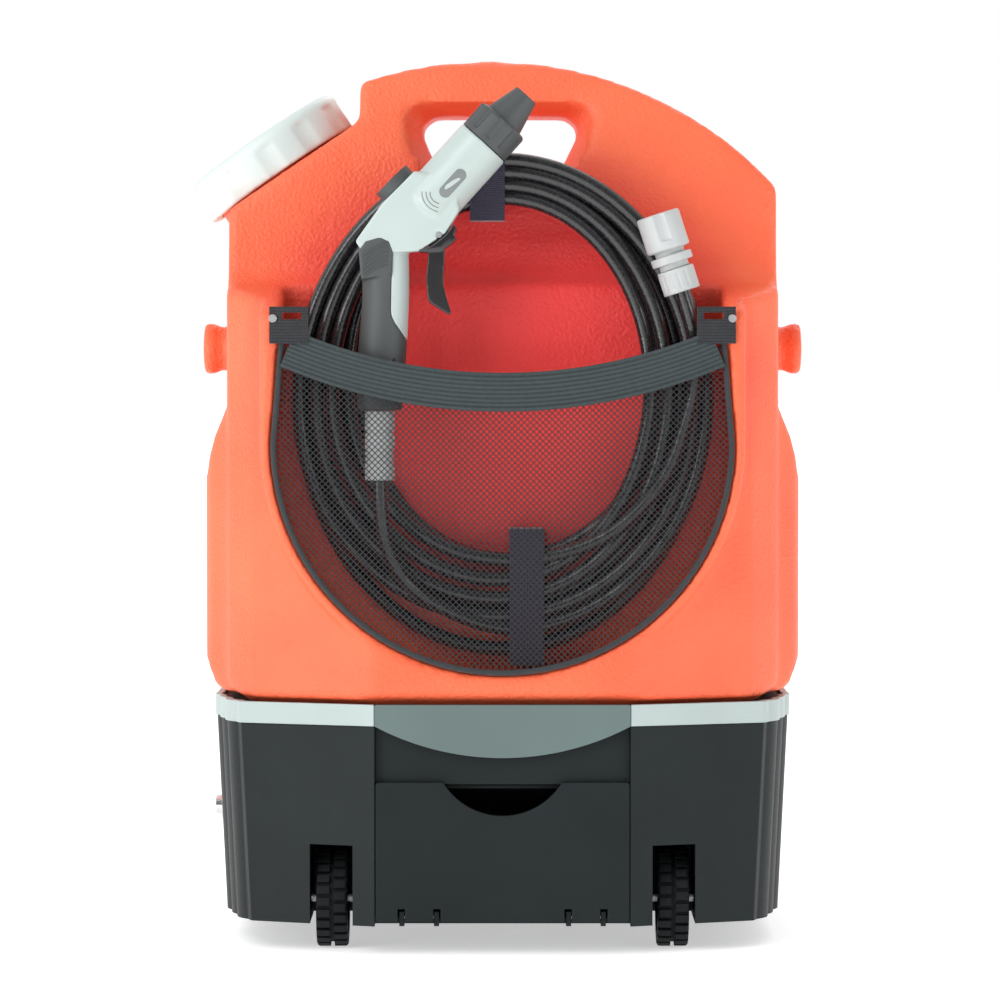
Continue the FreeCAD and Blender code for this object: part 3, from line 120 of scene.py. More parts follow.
def smooth(piece, angle=35):
    alone(piece)
    bpy.ops.object.shade_smooth_by_angle(angle=math.radians(angle))
    return piece


def merged_copy(node, name):
    """A copy of a CAD node with its loose triangles joined into one skin."""
    piece = bpy.data.objects.new(name, nodes[node].data.copy())
    bpy.context.scene.collection.objects.link(piece)
    alone(piece)
    bpy.ops.object.mode_set(mode="EDIT")
    bpy.ops.mesh.select_all(action="SELECT")
    bpy.ops.mesh.remove_doubles(threshold=2e-6)
    done_editing()
    return piece


def melted(piece, grain, rounds):
    """Remeshes a piece in voxels of a grain's size and smooths it, which melts its edges."""
    shaped(piece, "REMESH", mode="VOXEL", voxel_size=grain, use_smooth_shade=True)
    shaped(piece, "SMOOTH", factor=0.5, iterations=rounds)
    bpy.ops.object.shade_smooth()
    print(piece.name, "triangles", sum(len(face.vertices) - 2 for face in piece.data.polygons))
    return piece


def moulded(node, name, grain, rounds, body="machine"):
    """A soft-edged moulding in place of a CAD node: a remeshed copy whose edges are melted."""
    piece = melted(merged_copy(node, name), grain, rounds)
    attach(piece, body)
    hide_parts(node)
    return piece


# %% [markdown]
# ## Camera first
# The camera comes first. The machine is seen straight from the front by a long lens three
# metres away, a little above the middle of the tank. A long lens keeps the upright edges
# upright. We aim it with a direction vector turned into a rotation, which is easier to read
# than three angles.

# %% Camera
eye = Vector((0.0, -3.0, 0.361))
target = Vector((-0.0016, 0.0, 0.2682))
lens = bpy.data.cameras.new("front_camera")
lens.lens = 172.3
lens.sensor_width = 36.0
camera = bpy.data.objects.new("front_camera", lens)
bpy.context.scene.collection.objects.link(camera)
camera.location = eye
camera.rotation_euler = (target - eye).to_track_quat("-Z", "Y").to_euler()
bpy.context.scene.camera = camera
bpy.context.scene.view_settings.view_transform = "Standard"
print("camera", tuple(round(math.degrees(a), 2) for a in camera.rotation_euler))

# %% [markdown]
# ## The hose
#
# Six metres of smooth PVC hose, nine millimetres thick, are wound into an upright coil that
# fits the recess of the tank. Two straps hold it: one at the top and one at the bottom. The
# coil could be a torus, but a torus has no strands. It could be eight separate rings, but a
# real hose is one line from end to end. So it is one NURBS curve, and each pass gets its own
# lane at the bottom, right, top and left: neat where the straps press, fanned out between.

# %% The hose's route: a loop of passes between two given ends
HOSE_DIAMETER = 0.009
POINTS_PER_TURN = 16
FRONT_ROW, MIDDLE_ROW, BACK_ROW = -0.1020, -0.0934, -0.0848
gun_end = [(-0.0736, -0.1255, 0.2840), (-0.0736, -0.1255, 0.2580), (-0.0660, -0.1170, 0.2320),
           (-0.0500, -0.1100, 0.2120)]
connector_end = [(0.1120, -0.1100, 0.3220), (0.1175, -0.1140, 0.3470), (0.11583, -0.1210, 0.37332),
                 (0.1081, -0.1210, 0.3971)]

# each pass: (lane, row) at the bottom, right, top and left; lane 0 is the inner edge, 1 the outer
F, M, B = FRONT_ROW, MIDDLE_ROW, BACK_ROW
passes = [
    [(0.76, F), (0.95, F), (0.88, F), (0.95, F)],
    [(0.62, F), (0.79, F), (0.64, F), (0.72, F)],
    [(0.46, F), (0.44, F), (0.38, F), (0.50, F)],
    [(0.28, F), (0.20, F), (0.12, F), (0.14, B)],
    [(0.10, B), (0.34, B), (0.34, B), (0.42, B)],
    [(0.60, B), (0.72, B), (0.70, B), (0.92, B)],
    [(0.95, M), (0.90, M), (0.78, M), (0.80, M)],
    [(0.52, M), (0.60, M), (0.44, M), (0.30, M)],
    [(0.08, F), (0.66, -0.1095)],
]
stations = [spot for row in passes for spot in row]


def lane_place(turn):
    """Lane and row part way between two quarter-turn stations."""
    quarter = turn * 4
    index = min(int(quarter), len(stations) - 2)
    share = quarter - index
    ease = share * share * (3 - 2 * share)
    here, ahead = stations[index], stations[index + 1]
    return here[0] + (ahead[0] - here[0]) * ease, here[1] + (ahead[1] - here[1]) * ease


def coil_point(turn):
    lane, row = lane_place(turn)
    across = 0.0820 + 0.0464 * lane
    tall = 0.1065 + 0.0480 * lane
    middle = 0.3460 - 0.0170 * lane
    angle = 2 * math.pi * turn
    return (across * math.sin(angle), row, middle - tall * math.cos(angle))


route = list(gun_end)
steps = int(8.2 * POINTS_PER_TURN)
for step in range(0, steps + 1):
    route.append(coil_point(step / POINTS_PER_TURN))
route += connector_end
print("route points", len(route))

# %% [markdown]
# The order of a NURBS spline is the number of control points that pull on each stretch.
# Order 3 is smooth and stays close to its points. The order and the end setting are given
# after the points, because a spline with one point can't take them. The bevel makes the
# tube, so the curve's own line stays the hose's centre line.

# %% The hose as one curve
hose_line = bpy.data.curves.new("hose", "CURVE")
hose_line.dimensions = "3D"
spline = hose_line.splines.new("NURBS")
spline.points.add(len(route) - 1)
for point, place in zip(spline.points, route):
    point.co = (*place, 1.0)
    point.radius = HOSE_DIAMETER / 2
spline.order_u = 3
spline.use_endpoint_u = True
spline.resolution_u = 8
hose_line.bevel_depth = 1.0
hose_line.bevel_resolution = 4
hose_line.use_fill_caps = True
hose = bpy.data.objects.new("hose", hose_line)
bpy.context.scene.collection.objects.link(hose)
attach(hose, "hose_set")
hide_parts("hose_coil", "hose_gun_end", "hose_connector_end")

# %% [markdown]
# ## Finishes
#
# Every finish is built from the same few nodes, so we write them once. Fine noise through a
# Bump node gives the grain that moulds are etched with. Large soft noise shifts the colour a
# little, as real plastic does. A Bevel node rounds the normals along sharp edges, so that
# edges catch the light. Object coordinates keep every pattern at its real size.

# %% Node helpers
def new_finish(name):
    finish = bpy.data.materials.new(name)
    finish.use_nodes = True
    tree = finish.node_tree
    shader = tree.nodes["Principled BSDF"]
    place = tree.nodes.new("ShaderNodeTexCoord").outputs["Object"]
    return finish, tree, shader, place


def noise(tree, place, size, detail=2.0, rough=0.5, stretch=None):
    """Soft noise whose blotches are about `size` metres across."""
    if stretch:
        mapping = tree.nodes.new("ShaderNodeMapping")
        mapping.inputs["Scale"].default_value = stretch
        tree.links.new(place, mapping.inputs["Vector"])
        place = mapping.outputs["Vector"]
    node = tree.nodes.new("ShaderNodeTexNoise")
    node.inputs["Scale"].default_value = 1.0 / size
    node.inputs["Detail"].default_value = detail
    node.inputs["Roughness"].default_value = rough
    tree.links.new(place, node.inputs["Vector"])
    return node.outputs["Fac"]


def cells(tree, place, size, feature="SMOOTH_F1"):
    node = tree.nodes.new("ShaderNodeTexVoronoi")
    node.feature = feature
    node.inputs["Scale"].default_value = 1.0 / size
    tree.links.new(place, node.inputs["Vector"])
    return node.outputs["Distance"]


def ramp(tree, fac, stops):
    node = tree.nodes.new("ShaderNodeValToRGB")
    elements = node.color_ramp.elements
    while len(elements) < len(stops):
        elements.new(0.5)
    for element, (at, colour) in zip(elements, stops):
        element.position = at
        element.color = (*colour, 1.0) if len(colour) == 3 else colour
    tree.links.new(fac, node.inputs["Fac"])
    return node.outputs["Color"]


def spread(tree, fac, low, high, start=0.3, end=0.7):
    node = tree.nodes.new("ShaderNodeMapRange")
    node.inputs["From Min"].default_value = start
    node.inputs["From Max"].default_value = end
    node.inputs["To Min"].default_value = low
    node.inputs["To Max"].default_value = high
    tree.links.new(fac, node.inputs["Value"])
    return node.outputs["Result"]


def bumps(tree, layers, edge=0.0):
    """Stacks Bump nodes, each (height, depth in metres), over a softened edge normal."""
    normal = None
    if edge:
        round_edge = tree.nodes.new("ShaderNodeBevel")
        round_edge.samples = 4
        round_edge.inputs["Radius"].default_value = edge
        normal = round_edge.outputs["Normal"]
    for height, depth in layers:
        node = tree.nodes.new("ShaderNodeBump")
        node.inputs["Distance"].default_value = depth
        tree.links.new(height, node.inputs["Height"])
        if normal:
            tree.links.new(normal, node.inputs["Normal"])
        normal = node.outputs["Normal"]
    return normal


def shade(colour, by):
    return tuple(min(1.0, c * by) for c in colour)


# %% [markdown]
# Most parts are moulded plastic, so one function makes them all, from a colour, a gloss and
# a grain. The grain's size is the distance between its pits, in metres.

# %% Moulded plastics and rubber
def moulded_plastic(name, colour, gloss, grain=0.0006, depth=0.00006, drift=0.10, edge=0.0005, coat=0.0,
                    shine=0.5):
    finish, tree, shader, place = new_finish(name)
    patches = noise(tree, place, 0.06, 3.0)
    tint = ramp(tree, patches, [(0.3, shade(colour, 1 - drift)), (0.7, shade(colour, 1 + drift))])
    tree.links.new(tint, shader.inputs["Base Color"])
    pits = noise(tree, place, grain, 2.0, 0.6)
    tree.links.new(spread(tree, pits, gloss - 0.06, gloss + 0.06), shader.inputs["Roughness"])
    tree.links.new(bumps(tree, [(pits, depth)], edge), shader.inputs["Normal"])
    shader.inputs["Coat Weight"].default_value = coat
    shader.inputs["Coat Roughness"].default_value = 0.12
    shader.inputs["Specular IOR Level"].default_value = shine
    return finish


finishes = {
    "cap_white": moulded_plastic("cap_white", (0.62, 0.70, 0.68), 0.42, 0.0011, 0.00004, 0.03, 0.0008),
    "base_black": moulded_plastic("base_black", (0.009, 0.014, 0.015), 0.50, 0.0008, 0.00010, 0.12, 0.0007,
                                  shine=0.22),
    "band_grey": moulded_plastic("band_grey", (0.42, 0.50, 0.49), 0.42, 0.0007, 0.00004, 0.06, 0.0006),
    "crest_grey": moulded_plastic("crest_grey", (0.115, 0.165, 0.160), 0.45, 0.0007, 0.00004, 0.06, 0.0006),
    "hub_black": moulded_plastic("hub_black", (0.006, 0.008, 0.009), 0.50, 0.0008, 0.00006, 0.1, 0.0004,
                                 shine=0.2),
    "battery_grey": moulded_plastic("battery_grey", (0.14, 0.15, 0.16), 0.5),
    "connector_grey": moulded_plastic("connector_grey", (0.50, 0.52, 0.52), 0.38, 0.0006, 0.00003, 0.05,
                                      0.0004),
    "gun_grey": moulded_plastic("gun_grey", (0.47, 0.55, 0.53), 0.36, 0.0005, 0.00002, 0.03, 0.0003),
    "gun_inlay": moulded_plastic("gun_inlay", (0.20, 0.22, 0.22), 0.45, 0.0005, 0.00003, 0.05, 0.0002),
    "gun_dark": moulded_plastic("gun_dark", (0.060, 0.068, 0.070), 0.52, 0.0005, 0.00006, 0.10, 0.0004),
    "trigger_black": moulded_plastic("trigger_black", (0.012, 0.012, 0.014), 0.18, 0.0009, 0.00001, 0.1,
                                     0.0004, 0.6),
    "seal_rubber": moulded_plastic("seal_rubber", (0.016, 0.016, 0.017), 0.7, 0.0009, 0.00008, 0.2, 0.0003),
    "tyre_black": moulded_plastic("tyre_black", (0.006, 0.008, 0.009), 0.66, 0.0009, 0.00016, 0.25, 0.0006,
                                  shine=0.2),
    "lead_red": moulded_plastic("lead_red", (0.42, 0.02, 0.015), 0.4, 0.0009, 0.00002, 0.1, 0.0002),
    "tube_clear": moulded_plastic("tube_clear", (0.42, 0.45, 0.43), 0.35, 0.0012, 0.00006, 0.1, 0.0003),
}


def metal(name, colour, gloss, brush, stretch):
    finish, tree, shader, place = new_finish(name)
    lines = noise(tree, place, brush, 3.0, 0.6, stretch)
    tree.links.new(ramp(tree, lines, [(0.3, shade(colour, 0.85)), (0.7, shade(colour, 1.1))]),
                   shader.inputs["Base Color"])
    tree.links.new(spread(tree, lines, gloss - 0.05, gloss + 0.08), shader.inputs["Roughness"])
    tree.links.new(bumps(tree, [(lines, 0.00001)], 0.0003), shader.inputs["Normal"])
    shader.inputs["Metallic"].default_value = 1.0
    return finish


finishes["steel"] = metal("steel", (0.55, 0.56, 0.57), 0.32, 0.0008, (1, 1, 8))
finishes["chrome"] = metal("chrome", (0.80, 0.80, 0.80), 0.10, 0.002, (4, 1, 1))
finishes["motor_steel"] = metal("motor_steel", (0.10, 0.10, 0.11), 0.40, 0.0009, (8, 1, 1))
print("finishes", len(finishes))

# %% [markdown]
# The tank is rotomoulded polyethylene. Its skin is pebbled: shallow cells about one and a
# half millimetres across, with finer noise between. Light goes a little way into this
# plastic, so a trace of subsurface scattering keeps the orange warm in its shaded places.

# %% The tank's orange
RECESS_CENTRE_Z = 0.340
RECESS_REACH = 0.165
finish, tree, shader, place = new_finish("tank_orange")
patches = noise(tree, place, 0.09, 3.0)
tint = ramp(tree, patches, [(0.3, (0.92, 0.125, 0.048)), (0.7, (0.97, 0.165, 0.066))])
# painted bounce light: deeper red painted inside the recess, where the orange walls light one another
dish = tree.nodes.new("ShaderNodeMapping")
dish.inputs["Scale"].default_value = (1 / RECESS_REACH, 0.0, 1 / RECESS_REACH)
dish.inputs["Location"].default_value = (0.0, 0.0, -RECESS_CENTRE_Z / RECESS_REACH)
tree.links.new(place, dish.inputs["Vector"])
ball = tree.nodes.new("ShaderNodeTexGradient")
ball.gradient_type = "SPHERICAL"
tree.links.new(dish.outputs["Vector"], ball.inputs["Vector"])
depth_split = tree.nodes.new("ShaderNodeSeparateXYZ")
tree.links.new(place, depth_split.inputs["Vector"])
share = spread(tree, ball.outputs["Fac"], 0.0, 1.0, 0.02, 0.30)
for near, far in ((-0.135, -0.110), (-0.045, -0.060)):
    gate = tree.nodes.new("ShaderNodeMath")
    gate.operation = "MULTIPLY"
    tree.links.new(share, gate.inputs[0])
    tree.links.new(spread(tree, depth_split.outputs["Y"], 0.0, 1.0, near, far), gate.inputs[1])
    share = gate.outputs["Value"]
# the painted bounce light is mixed over the orange base colour here
recess_bounce_paint = tree.nodes.new("ShaderNodeMix")
recess_bounce_paint.data_type = "RGBA"
tree.links.new(share, recess_bounce_paint.inputs["Factor"])
tree.links.new(tint, recess_bounce_paint.inputs["A"])
recess_bounce_paint.inputs["B"].default_value = (0.93, 0.045, 0.042, 1.0)
tree.links.new(recess_bounce_paint.outputs["Result"], shader.inputs["Base Color"])
pebbles = cells(tree, place, 0.0019)
fine = noise(tree, place, 0.0007, 2.0, 0.6)
swell = noise(tree, place, 0.035, 2.0)
tree.links.new(spread(tree, fine, 0.40, 0.56), shader.inputs["Roughness"])
tree.links.new(bumps(tree, [(swell, 0.0012), (pebbles, 0.00048), (fine, 0.00012)]), shader.inputs["Normal"])
shader.inputs["Subsurface Weight"].default_value = 0.08
shader.inputs["Subsurface Radius"].default_value = (0.006, 0.002, 0.001)
finishes["tank_orange"] = finish

# %% [markdown]
# The hose is black PVC with a glassy skin. A faint helical reinforcement shows through as
# fine dots along its highlights, so the bump is made of small cells under a clear coat.

# %% Hose skin
finish, tree, shader, place = new_finish("hose_black")
braid = cells(tree, place, 0.0016)
scuff = noise(tree, place, 0.012, 4.0, 0.6)
tree.links.new(ramp(tree, braid, [(0.2, (0.010, 0.010, 0.011)), (0.8, (0.026, 0.027, 0.030))]),
               shader.inputs["Base Color"])
tree.links.new(spread(tree, scuff, 0.16, 0.30), shader.inputs["Roughness"])
tree.links.new(bumps(tree, [(braid, 0.00012)]), shader.inputs["Normal"])
shader.inputs["Coat Weight"].default_value = 0.5
shader.inputs["Coat Roughness"].default_value = 0.10
finishes["hose_black"] = finish

# %% [markdown]
# Webbing and tape are woven. Two wave textures at right angles, one for each set of threads,
# make a weave that follows the fabric, because they read its own UV map where it has one.

# %% Woven finishes
def woven(name, colour, rib, thread, depth, source="Object", sheen=0.25):
    finish, tree, shader, place = new_finish(name)
    if source == "UV":
        place = tree.nodes["Texture Coordinate"].outputs["UV"]
    waves = []
    for direction, size in (("X", thread), ("Z" if source == "Object" else "Y", rib)):
        wave = tree.nodes.new("ShaderNodeTexWave")
        wave.bands_direction = direction
        wave.inputs["Scale"].default_value = 0.314 / size
        wave.inputs["Distortion"].default_value = 0.4
        tree.links.new(place, wave.inputs["Vector"])
        waves.append(wave.outputs["Fac"])
    lint = noise(tree, tree.nodes["Texture Coordinate"].outputs["Object"], 0.004, 4.0, 0.7)
    tree.links.new(ramp(tree, waves[1], [(0.1, shade(colour, 0.55)), (0.8, shade(colour, 1.25))]),
                   shader.inputs["Base Color"])
    tree.links.new(spread(tree, lint, 0.72, 0.9), shader.inputs["Roughness"])
    tree.links.new(bumps(tree, [(waves[1], depth), (waves[0], depth * 0.5), (lint, depth * 0.6)]),
                   shader.inputs["Normal"])
    shader.inputs["Sheen Weight"].default_value = sheen
    shader.inputs["Sheen Roughness"].default_value = 0.5
    return finish


finishes["webbing_black"] = woven("webbing_black", (0.030, 0.045, 0.048), 0.0026, 0.0012, 0.0004, "UV")
finishes["tab_webbing"] = woven("tab_webbing", (0.016, 0.018, 0.022), 0.0018, 0.0012, 0.0003)
finishes["tie_black"] = woven("tie_black", (0.030, 0.024, 0.055), 0.0012, 0.0010, 0.0003, sheen=0.5)
finishes["net_black"] = woven("net_black", (0.030, 0.036, 0.040), 0.0005, 0.0005, 0.00008, sheen=0.15)

# %% [markdown]
# ## Dressing the CAD parts
#
# A CAD node whose shape is already right keeps its mesh and gets a finish. Assigning to the
# first material slot is enough, since each node has just one.

# %% Finishes on the CAD nodes
dress = {
    "base_black": ["base_shell", "base_deck", "front_panel", "storage_door", "storage_tray",
                   "service_plate"],
    "band_grey": ["trim_band"],
    "crest_grey": ["front_crest"],
    "tyre_black": ["wheel_tyre_left", "wheel_tyre_right", "rear_feet"],
    "hub_black": ["wheel_hub_left", "wheel_hub_right", "pump_head", "switch_frame", "power_rocker",
                  "charge_socket", "suction_strainer"],
    "seal_rubber": ["cap_gasket", "outlet_seal", "pump_mounts", "charge_cover", "battery_strap"],
    "steel": ["tank_screws", "hinge_pins", "axles", "axle_clips", "base_screws", "pump_bracket",
              "tab_rivets", "trigger_pin", "trigger_spring"],
    "chrome": ["outlet_nipple", "clamp_nuts"],
    "motor_steel": ["pump_motor"],
    "battery_grey": ["battery_pack", "outlet_fitting"],
    "tube_clear": ["pump_tubes"],
    "lead_red": ["power_leads"],
    "net_black": ["net_bead"],
    "tab_webbing": ["pocket_tabs"],
    "tie_black": ["hose_ties"],
    "connector_grey": ["connector_nut", "connector_collar", "connector_socket"],
    "gun_grey": ["gun_body"],
    "gun_dark": ["gun_grip", "nozzle_ring", "nozzle_tip", "flow_knob"],
    "trigger_black": ["trigger"],
}
for finish_name, members in dress.items():
    for node in members:
        nodes[node].data.materials.clear()
        nodes[node].data.materials.append(finishes[finish_name])
hose.data.materials.append(finishes["hose_black"])
print("dressed", sum(len(members) for members in dress.values()))

# %% [markdown]
# ## Tank and cap
#
# A blown tank has no sharp edge anywhere. Bevelling the CAD mesh by hand would mean chasing
# hundreds of edges, so a copy is remeshed in small voxels and smoothed instead: all edges
# melt together as they do in a hot mould. The cap is treated the same way at a finer size.

#
# The tank comes as two CAD nodes that meet at a level cut. Left in, the faces of that cut
# would stay inside the wall as a hidden partition, so they are deleted and the seam is
# closed before the remesh. The walls are thin, so the voxels have to stay small, and that
# leaves too many faces for one piece. Decimate then removes a quarter of them, mostly where
# the skin is nearly flat.

# %% Join the two halves of the tank
TANK_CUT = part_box("tank_top")[0].z


def on_the_cut(face):
    return abs(face.center.z - TANK_CUT) < 1e-5 and abs(face.normal.z) > 0.99


lower = merged_copy("tank_shell", "tank_lower")
tank = merged_copy("tank_top", "tank")
for half in (lower, tank):
    found = picked(half, on_the_cut, "FACE")
    bpy.ops.mesh.delete(type="FACE")
    done_editing()
    print(half.name, "cut faces removed", found)
alone(tank)
lower.select_set(True)
bpy.ops.object.join()
bpy.ops.object.mode_set(mode="EDIT")
bpy.ops.mesh.select_all(action="SELECT")
bpy.ops.mesh.remove_doubles(threshold=5e-5)
done_editing()

# %% Tank and cap mouldings
TANK_GRAIN = 0.0032
FACES_KEPT = 0.74
melted(tank, TANK_GRAIN, 5)
shaped(tank, "DECIMATE", ratio=FACES_KEPT)
print("tank thinned to", len(tank.data.polygons), "faces")
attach(tank, "machine")
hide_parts("tank_shell", "tank_top")
tank.data.materials.clear()
tank.data.materials.append(finishes["tank_orange"])
cap = moulded("filler_cap", "screw_cap", 0.0011, 8, "cap")
cap.data.materials.clear()
cap.data.materials.append(finishes["cap_white"])

# %% [markdown]
# ## Net pocket
#
# The lower half of the coil sits behind a net of knotless diamonds, 3.4 mm wide and 4 mm
# high. A picture of a net on a plain sheet would look flat from the side, so real threads
# are made: a grid turned by 45 degrees gives the diamonds, the pocket's outline cuts it, and
# a Wireframe modifier turns every edge of the grid into a thread.

# %% The diamond grid
DIAMOND = (0.0034, 0.0040)
ROWS = 142
NET_EDGE = 0.1366
bead_low, bead_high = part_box("net_bead")
NET_MIDDLE_Z = bead_low.z + (bead_high.x - bead_low.x) / 2
BAND_RADIUS, BAND_CENTRE_Z = 0.3281, 0.6651

bpy.ops.mesh.primitive_grid_add(x_subdivisions=ROWS, y_subdivisions=ROWS, size=ROWS * math.sqrt(0.5))
net = newest("pocket_net")
diamonds = Matrix.Diagonal((DIAMOND[0], DIAMOND[1], 1.0, 1.0)) @ Matrix.Rotation(math.radians(45), 4, "Z")
placed(net, Matrix.Translation((0, 0, NET_MIDDLE_Z)) @ Matrix.Rotation(math.radians(90), 4, "X") @ diamonds)


def band_height(x):
    """Height of the elastic band's middle line, an arc that sags between its ends."""
    return BAND_CENTRE_Z - math.sqrt(BAND_RADIUS ** 2 - x * x)


def net_side(z):
    """Half width of the pocket at a height: round below its middle, nearly straight above."""
    rise = z - NET_MIDDLE_Z
    return math.sqrt(max(NET_EDGE ** 2 - rise ** 2, 0)) if rise < 0 else NET_EDGE - 0.08 * rise


def outside_net(face):
    x, z = face.center.x, face.center.z
    if abs(x) > 0.15 or abs(z - NET_MIDDLE_Z) > NET_EDGE:
        return True
    return abs(x) > net_side(z) or z > band_height(x) + 0.004


picked(net, outside_net, "FACE")
bpy.ops.mesh.delete(type="FACE")
done_editing()
print("diamonds", len(net.data.polygons))

# %% [markdown]
# The cut leaves a saw-tooth edge, so the outermost knots are drawn out to the piping that
# holds them. Then the net is hung: pulled forward in the middle, with small uneven waves.

# %% Hang the net
picked(net, lambda vertex: False)
bpy.ops.mesh.select_all(action="SELECT")
bpy.ops.mesh.region_to_loop()
done_editing()
rim = {v for edge in net.data.edges if edge.select for v in edge.vertices}
for index in rim:
    knot = net.data.vertices[index].co
    rise = knot.z - NET_MIDDLE_Z
    if rise < 0:
        stretch = NET_EDGE / math.hypot(knot.x, rise)
        knot.x *= stretch
        knot.z = NET_MIDDLE_Z + rise * stretch
    elif abs(knot.x) > 0.115:
        knot.x = math.copysign(net_side(knot.z), knot.x)
for vertex in net.data.vertices:
    x, rise = vertex.co.x, vertex.co.z - NET_MIDDLE_Z
    hang = 1 - min(1.0, (x * x + rise * rise) / NET_EDGE ** 2)
    wave = 0.0005 * math.sin(38 * x + 21 * rise) + 0.0004 * math.sin(61 * rise - 17 * x)
    vertex.co.y = -0.1412 - (0.0046 + wave) * hang
shaped(net, "WIREFRAME", thickness=0.00082, use_even_offset=False, use_boundary=True)
net.data.materials.append(finishes["net_black"])
smooth(net, 60)
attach(net, "machine")
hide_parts("net_pocket")
print("net triangles", 2 * len(net.data.polygons))

# %% [markdown]
# ## Elastic band
#
# A woven elastic, 23 mm wide, closes the pocket's mouth. It is a strip bent along its arc,
# with folded hems at both edges and a row of stitches in each. Its UV map is laid out in
# real metres, so the weave runs along the band as it does on the real one.

# %% The band's strip
BAND_TALL, BAND_HALF_ANGLE, BAND_FRONT = 0.0232, math.radians(23.0), -0.1474
bpy.ops.mesh.primitive_grid_add(x_subdivisions=120, y_subdivisions=14, size=2.0)
band = newest("elastic_mouth")
for loop in band.data.uv_layers[0].data:
    loop.uv = (loop.uv[0] * 0.265, loop.uv[1] * BAND_TALL)


def band_point(along, across, lift=0.0):
    """along and across run from -1 to 1; lift stands a point out to the front."""
    angle = along * BAND_HALF_ANGLE
    radius = BAND_RADIUS - across * BAND_TALL / 2
    curl = 0.0007 * math.sin(5.0 * along + 1.0) * across + 0.0005 * math.sin(11 * along)
    hem = 0.00035 if abs(across) > 0.80 else 0.0
    back = 0.0030 * max(0.0, abs(along) - 0.72) / 0.28
    return Vector((radius * math.sin(angle), BAND_FRONT - hem - lift + curl * 0.6 + back,
                   BAND_CENTRE_Z - radius * math.cos(angle)))


for vertex in band.data.vertices:
    vertex.co = band_point(vertex.co.x, vertex.co.y)
shaped(band, "SOLIDIFY", thickness=0.0013, offset=0.0)
shaped(band, "BEVEL", width=0.0003, segments=2, limit_method="ANGLE")
band.data.materials.append(finishes["webbing_black"])
smooth(band, 40)
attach(band, "machine")
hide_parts("elastic_band")

# %% Stitches in the hems
bpy.ops.mesh.primitive_cube_add(size=1.0)
stitch = newest("band_stitches")
placed(stitch, Matrix.Diagonal((0.0026, 0.0004, 0.0005, 1.0)))
shaped(stitch, "BEVEL", width=0.00015, segments=2)
one = stitch.data.copy()
rows = []
for across in (-0.84, 0.84):
    for index in range(66):
        along = -0.975 + 1.95 * index / 65
        copy = bpy.data.objects.new("stitch", one.copy())
        bpy.context.scene.collection.objects.link(copy)
        turn = Matrix.Rotation(-along * BAND_HALF_ANGLE, 4, "Y")
        copy.data.transform(Matrix.Translation(band_point(along, across, 0.0007)) @ turn)
        rows.append(copy)
alone(stitch)
stitch.data.transform(Matrix.Translation(band_point(0.0, 0.84, 0.0007)))
for copy in rows:
    copy.select_set(True)
bpy.ops.object.join()
stitch.data.materials.append(finishes["net_black"])
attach(stitch, "machine")
print("stitches", len(rows))

# %% [markdown]
# ## Spray gun
#
# The gun is two materials moulded together: a hard satin grey body and a soft dark grip.
# Both start as softened copies of the CAD parts. The grip climbs over the body behind the
# thumb, so a patch of that outline is joined to it before the remesh melts the two together.

# %% Outlines and surface helpers for the gun
GUN_MIDDLE = -0.1255


def slab(name, outline, low, high):
    """A flat plate with a drawn outline of (x, z) in millimetres, from low to high in Y."""
    bpy.ops.mesh.primitive_circle_add(vertices=len(outline), radius=0.01, fill_type="NGON")
    piece = newest(name)
    for vertex, (x, z) in zip(piece.data.vertices, outline):
        vertex.co = (x * MM, low, z * MM)
    bpy.ops.object.mode_set(mode="EDIT")
    bpy.ops.mesh.select_all(action="SELECT")
    bpy.ops.mesh.extrude_region_move(TRANSFORM_OT_translate={"value": (0, high - low, 0)})
    bpy.ops.mesh.select_all(action="SELECT")
    bpy.ops.mesh.normals_make_consistent(inside=False)
    done_editing()
    return piece


def front_of(piece, x, z, lift=0.0):
    """The point of a piece's front skin at x, z in millimetres."""
    hit, spot, normal, face = piece.ray_cast(Vector((x * MM, -0.3, z * MM)), Vector((0, 1, 0)))
    return spot - Vector((0, lift, 0)) if hit else None


def rib(name, spots, radius, finish, body="hose_set"):
    """A thin raised or sunk line through spots that already lie on a surface."""
    line = bpy.data.curves.new(name, "CURVE")
    line.dimensions = "3D"
    spline = line.splines.new("NURBS")
    spline.points.add(len(spots) - 1)
    for point, spot in zip(spline.points, spots):
        point.co = (*spot, 1.0)
    spline.order_u = 3
    spline.use_endpoint_u = True
    line.bevel_depth = radius
    line.bevel_resolution = 2
    line.use_fill_caps = True
    piece = bpy.data.objects.new(name, line)
    bpy.context.scene.collection.objects.link(piece)
    alone(piece)
    bpy.ops.object.convert(target="MESH")
    piece.data.materials.append(finish)
    bpy.ops.object.shade_smooth()
    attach(piece, body)
    return piece


# %% Body, grip and trigger
gun = moulded("gun_body", "gun_shell", 0.0008, 7, "hose_set")
gun.data.materials.clear()
gun.data.materials.append(finishes["gun_grey"])

patch = slab("thumb_patch", [(-86.0, 421.5), (-82.0, 427.2), (-73.4, 429.6), (-67.8, 427.2), (-65.4, 421.0),
                             (-66.2, 408.0), (-84.5, 404.0)], GUN_MIDDLE - 0.0141, GUN_MIDDLE + 0.0141)
grip = merged_copy("gun_grip", "gun_soft_grip")
patch.select_set(True)
bpy.ops.object.join()
shaped(grip, "REMESH", mode="VOXEL", voxel_size=0.0008, use_smooth_shade=True)
shaped(grip, "SMOOTH", factor=0.5, iterations=6)
bpy.ops.object.shade_smooth()
grip.data.materials.clear()
grip.data.materials.append(finishes["gun_dark"])
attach(grip, "hose_set")
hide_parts("gun_grip")

trigger = moulded("trigger", "trigger_lever", 0.0005, 8, "trigger")
trigger.data.materials.clear()
trigger.data.materials.append(finishes["trigger_black"])

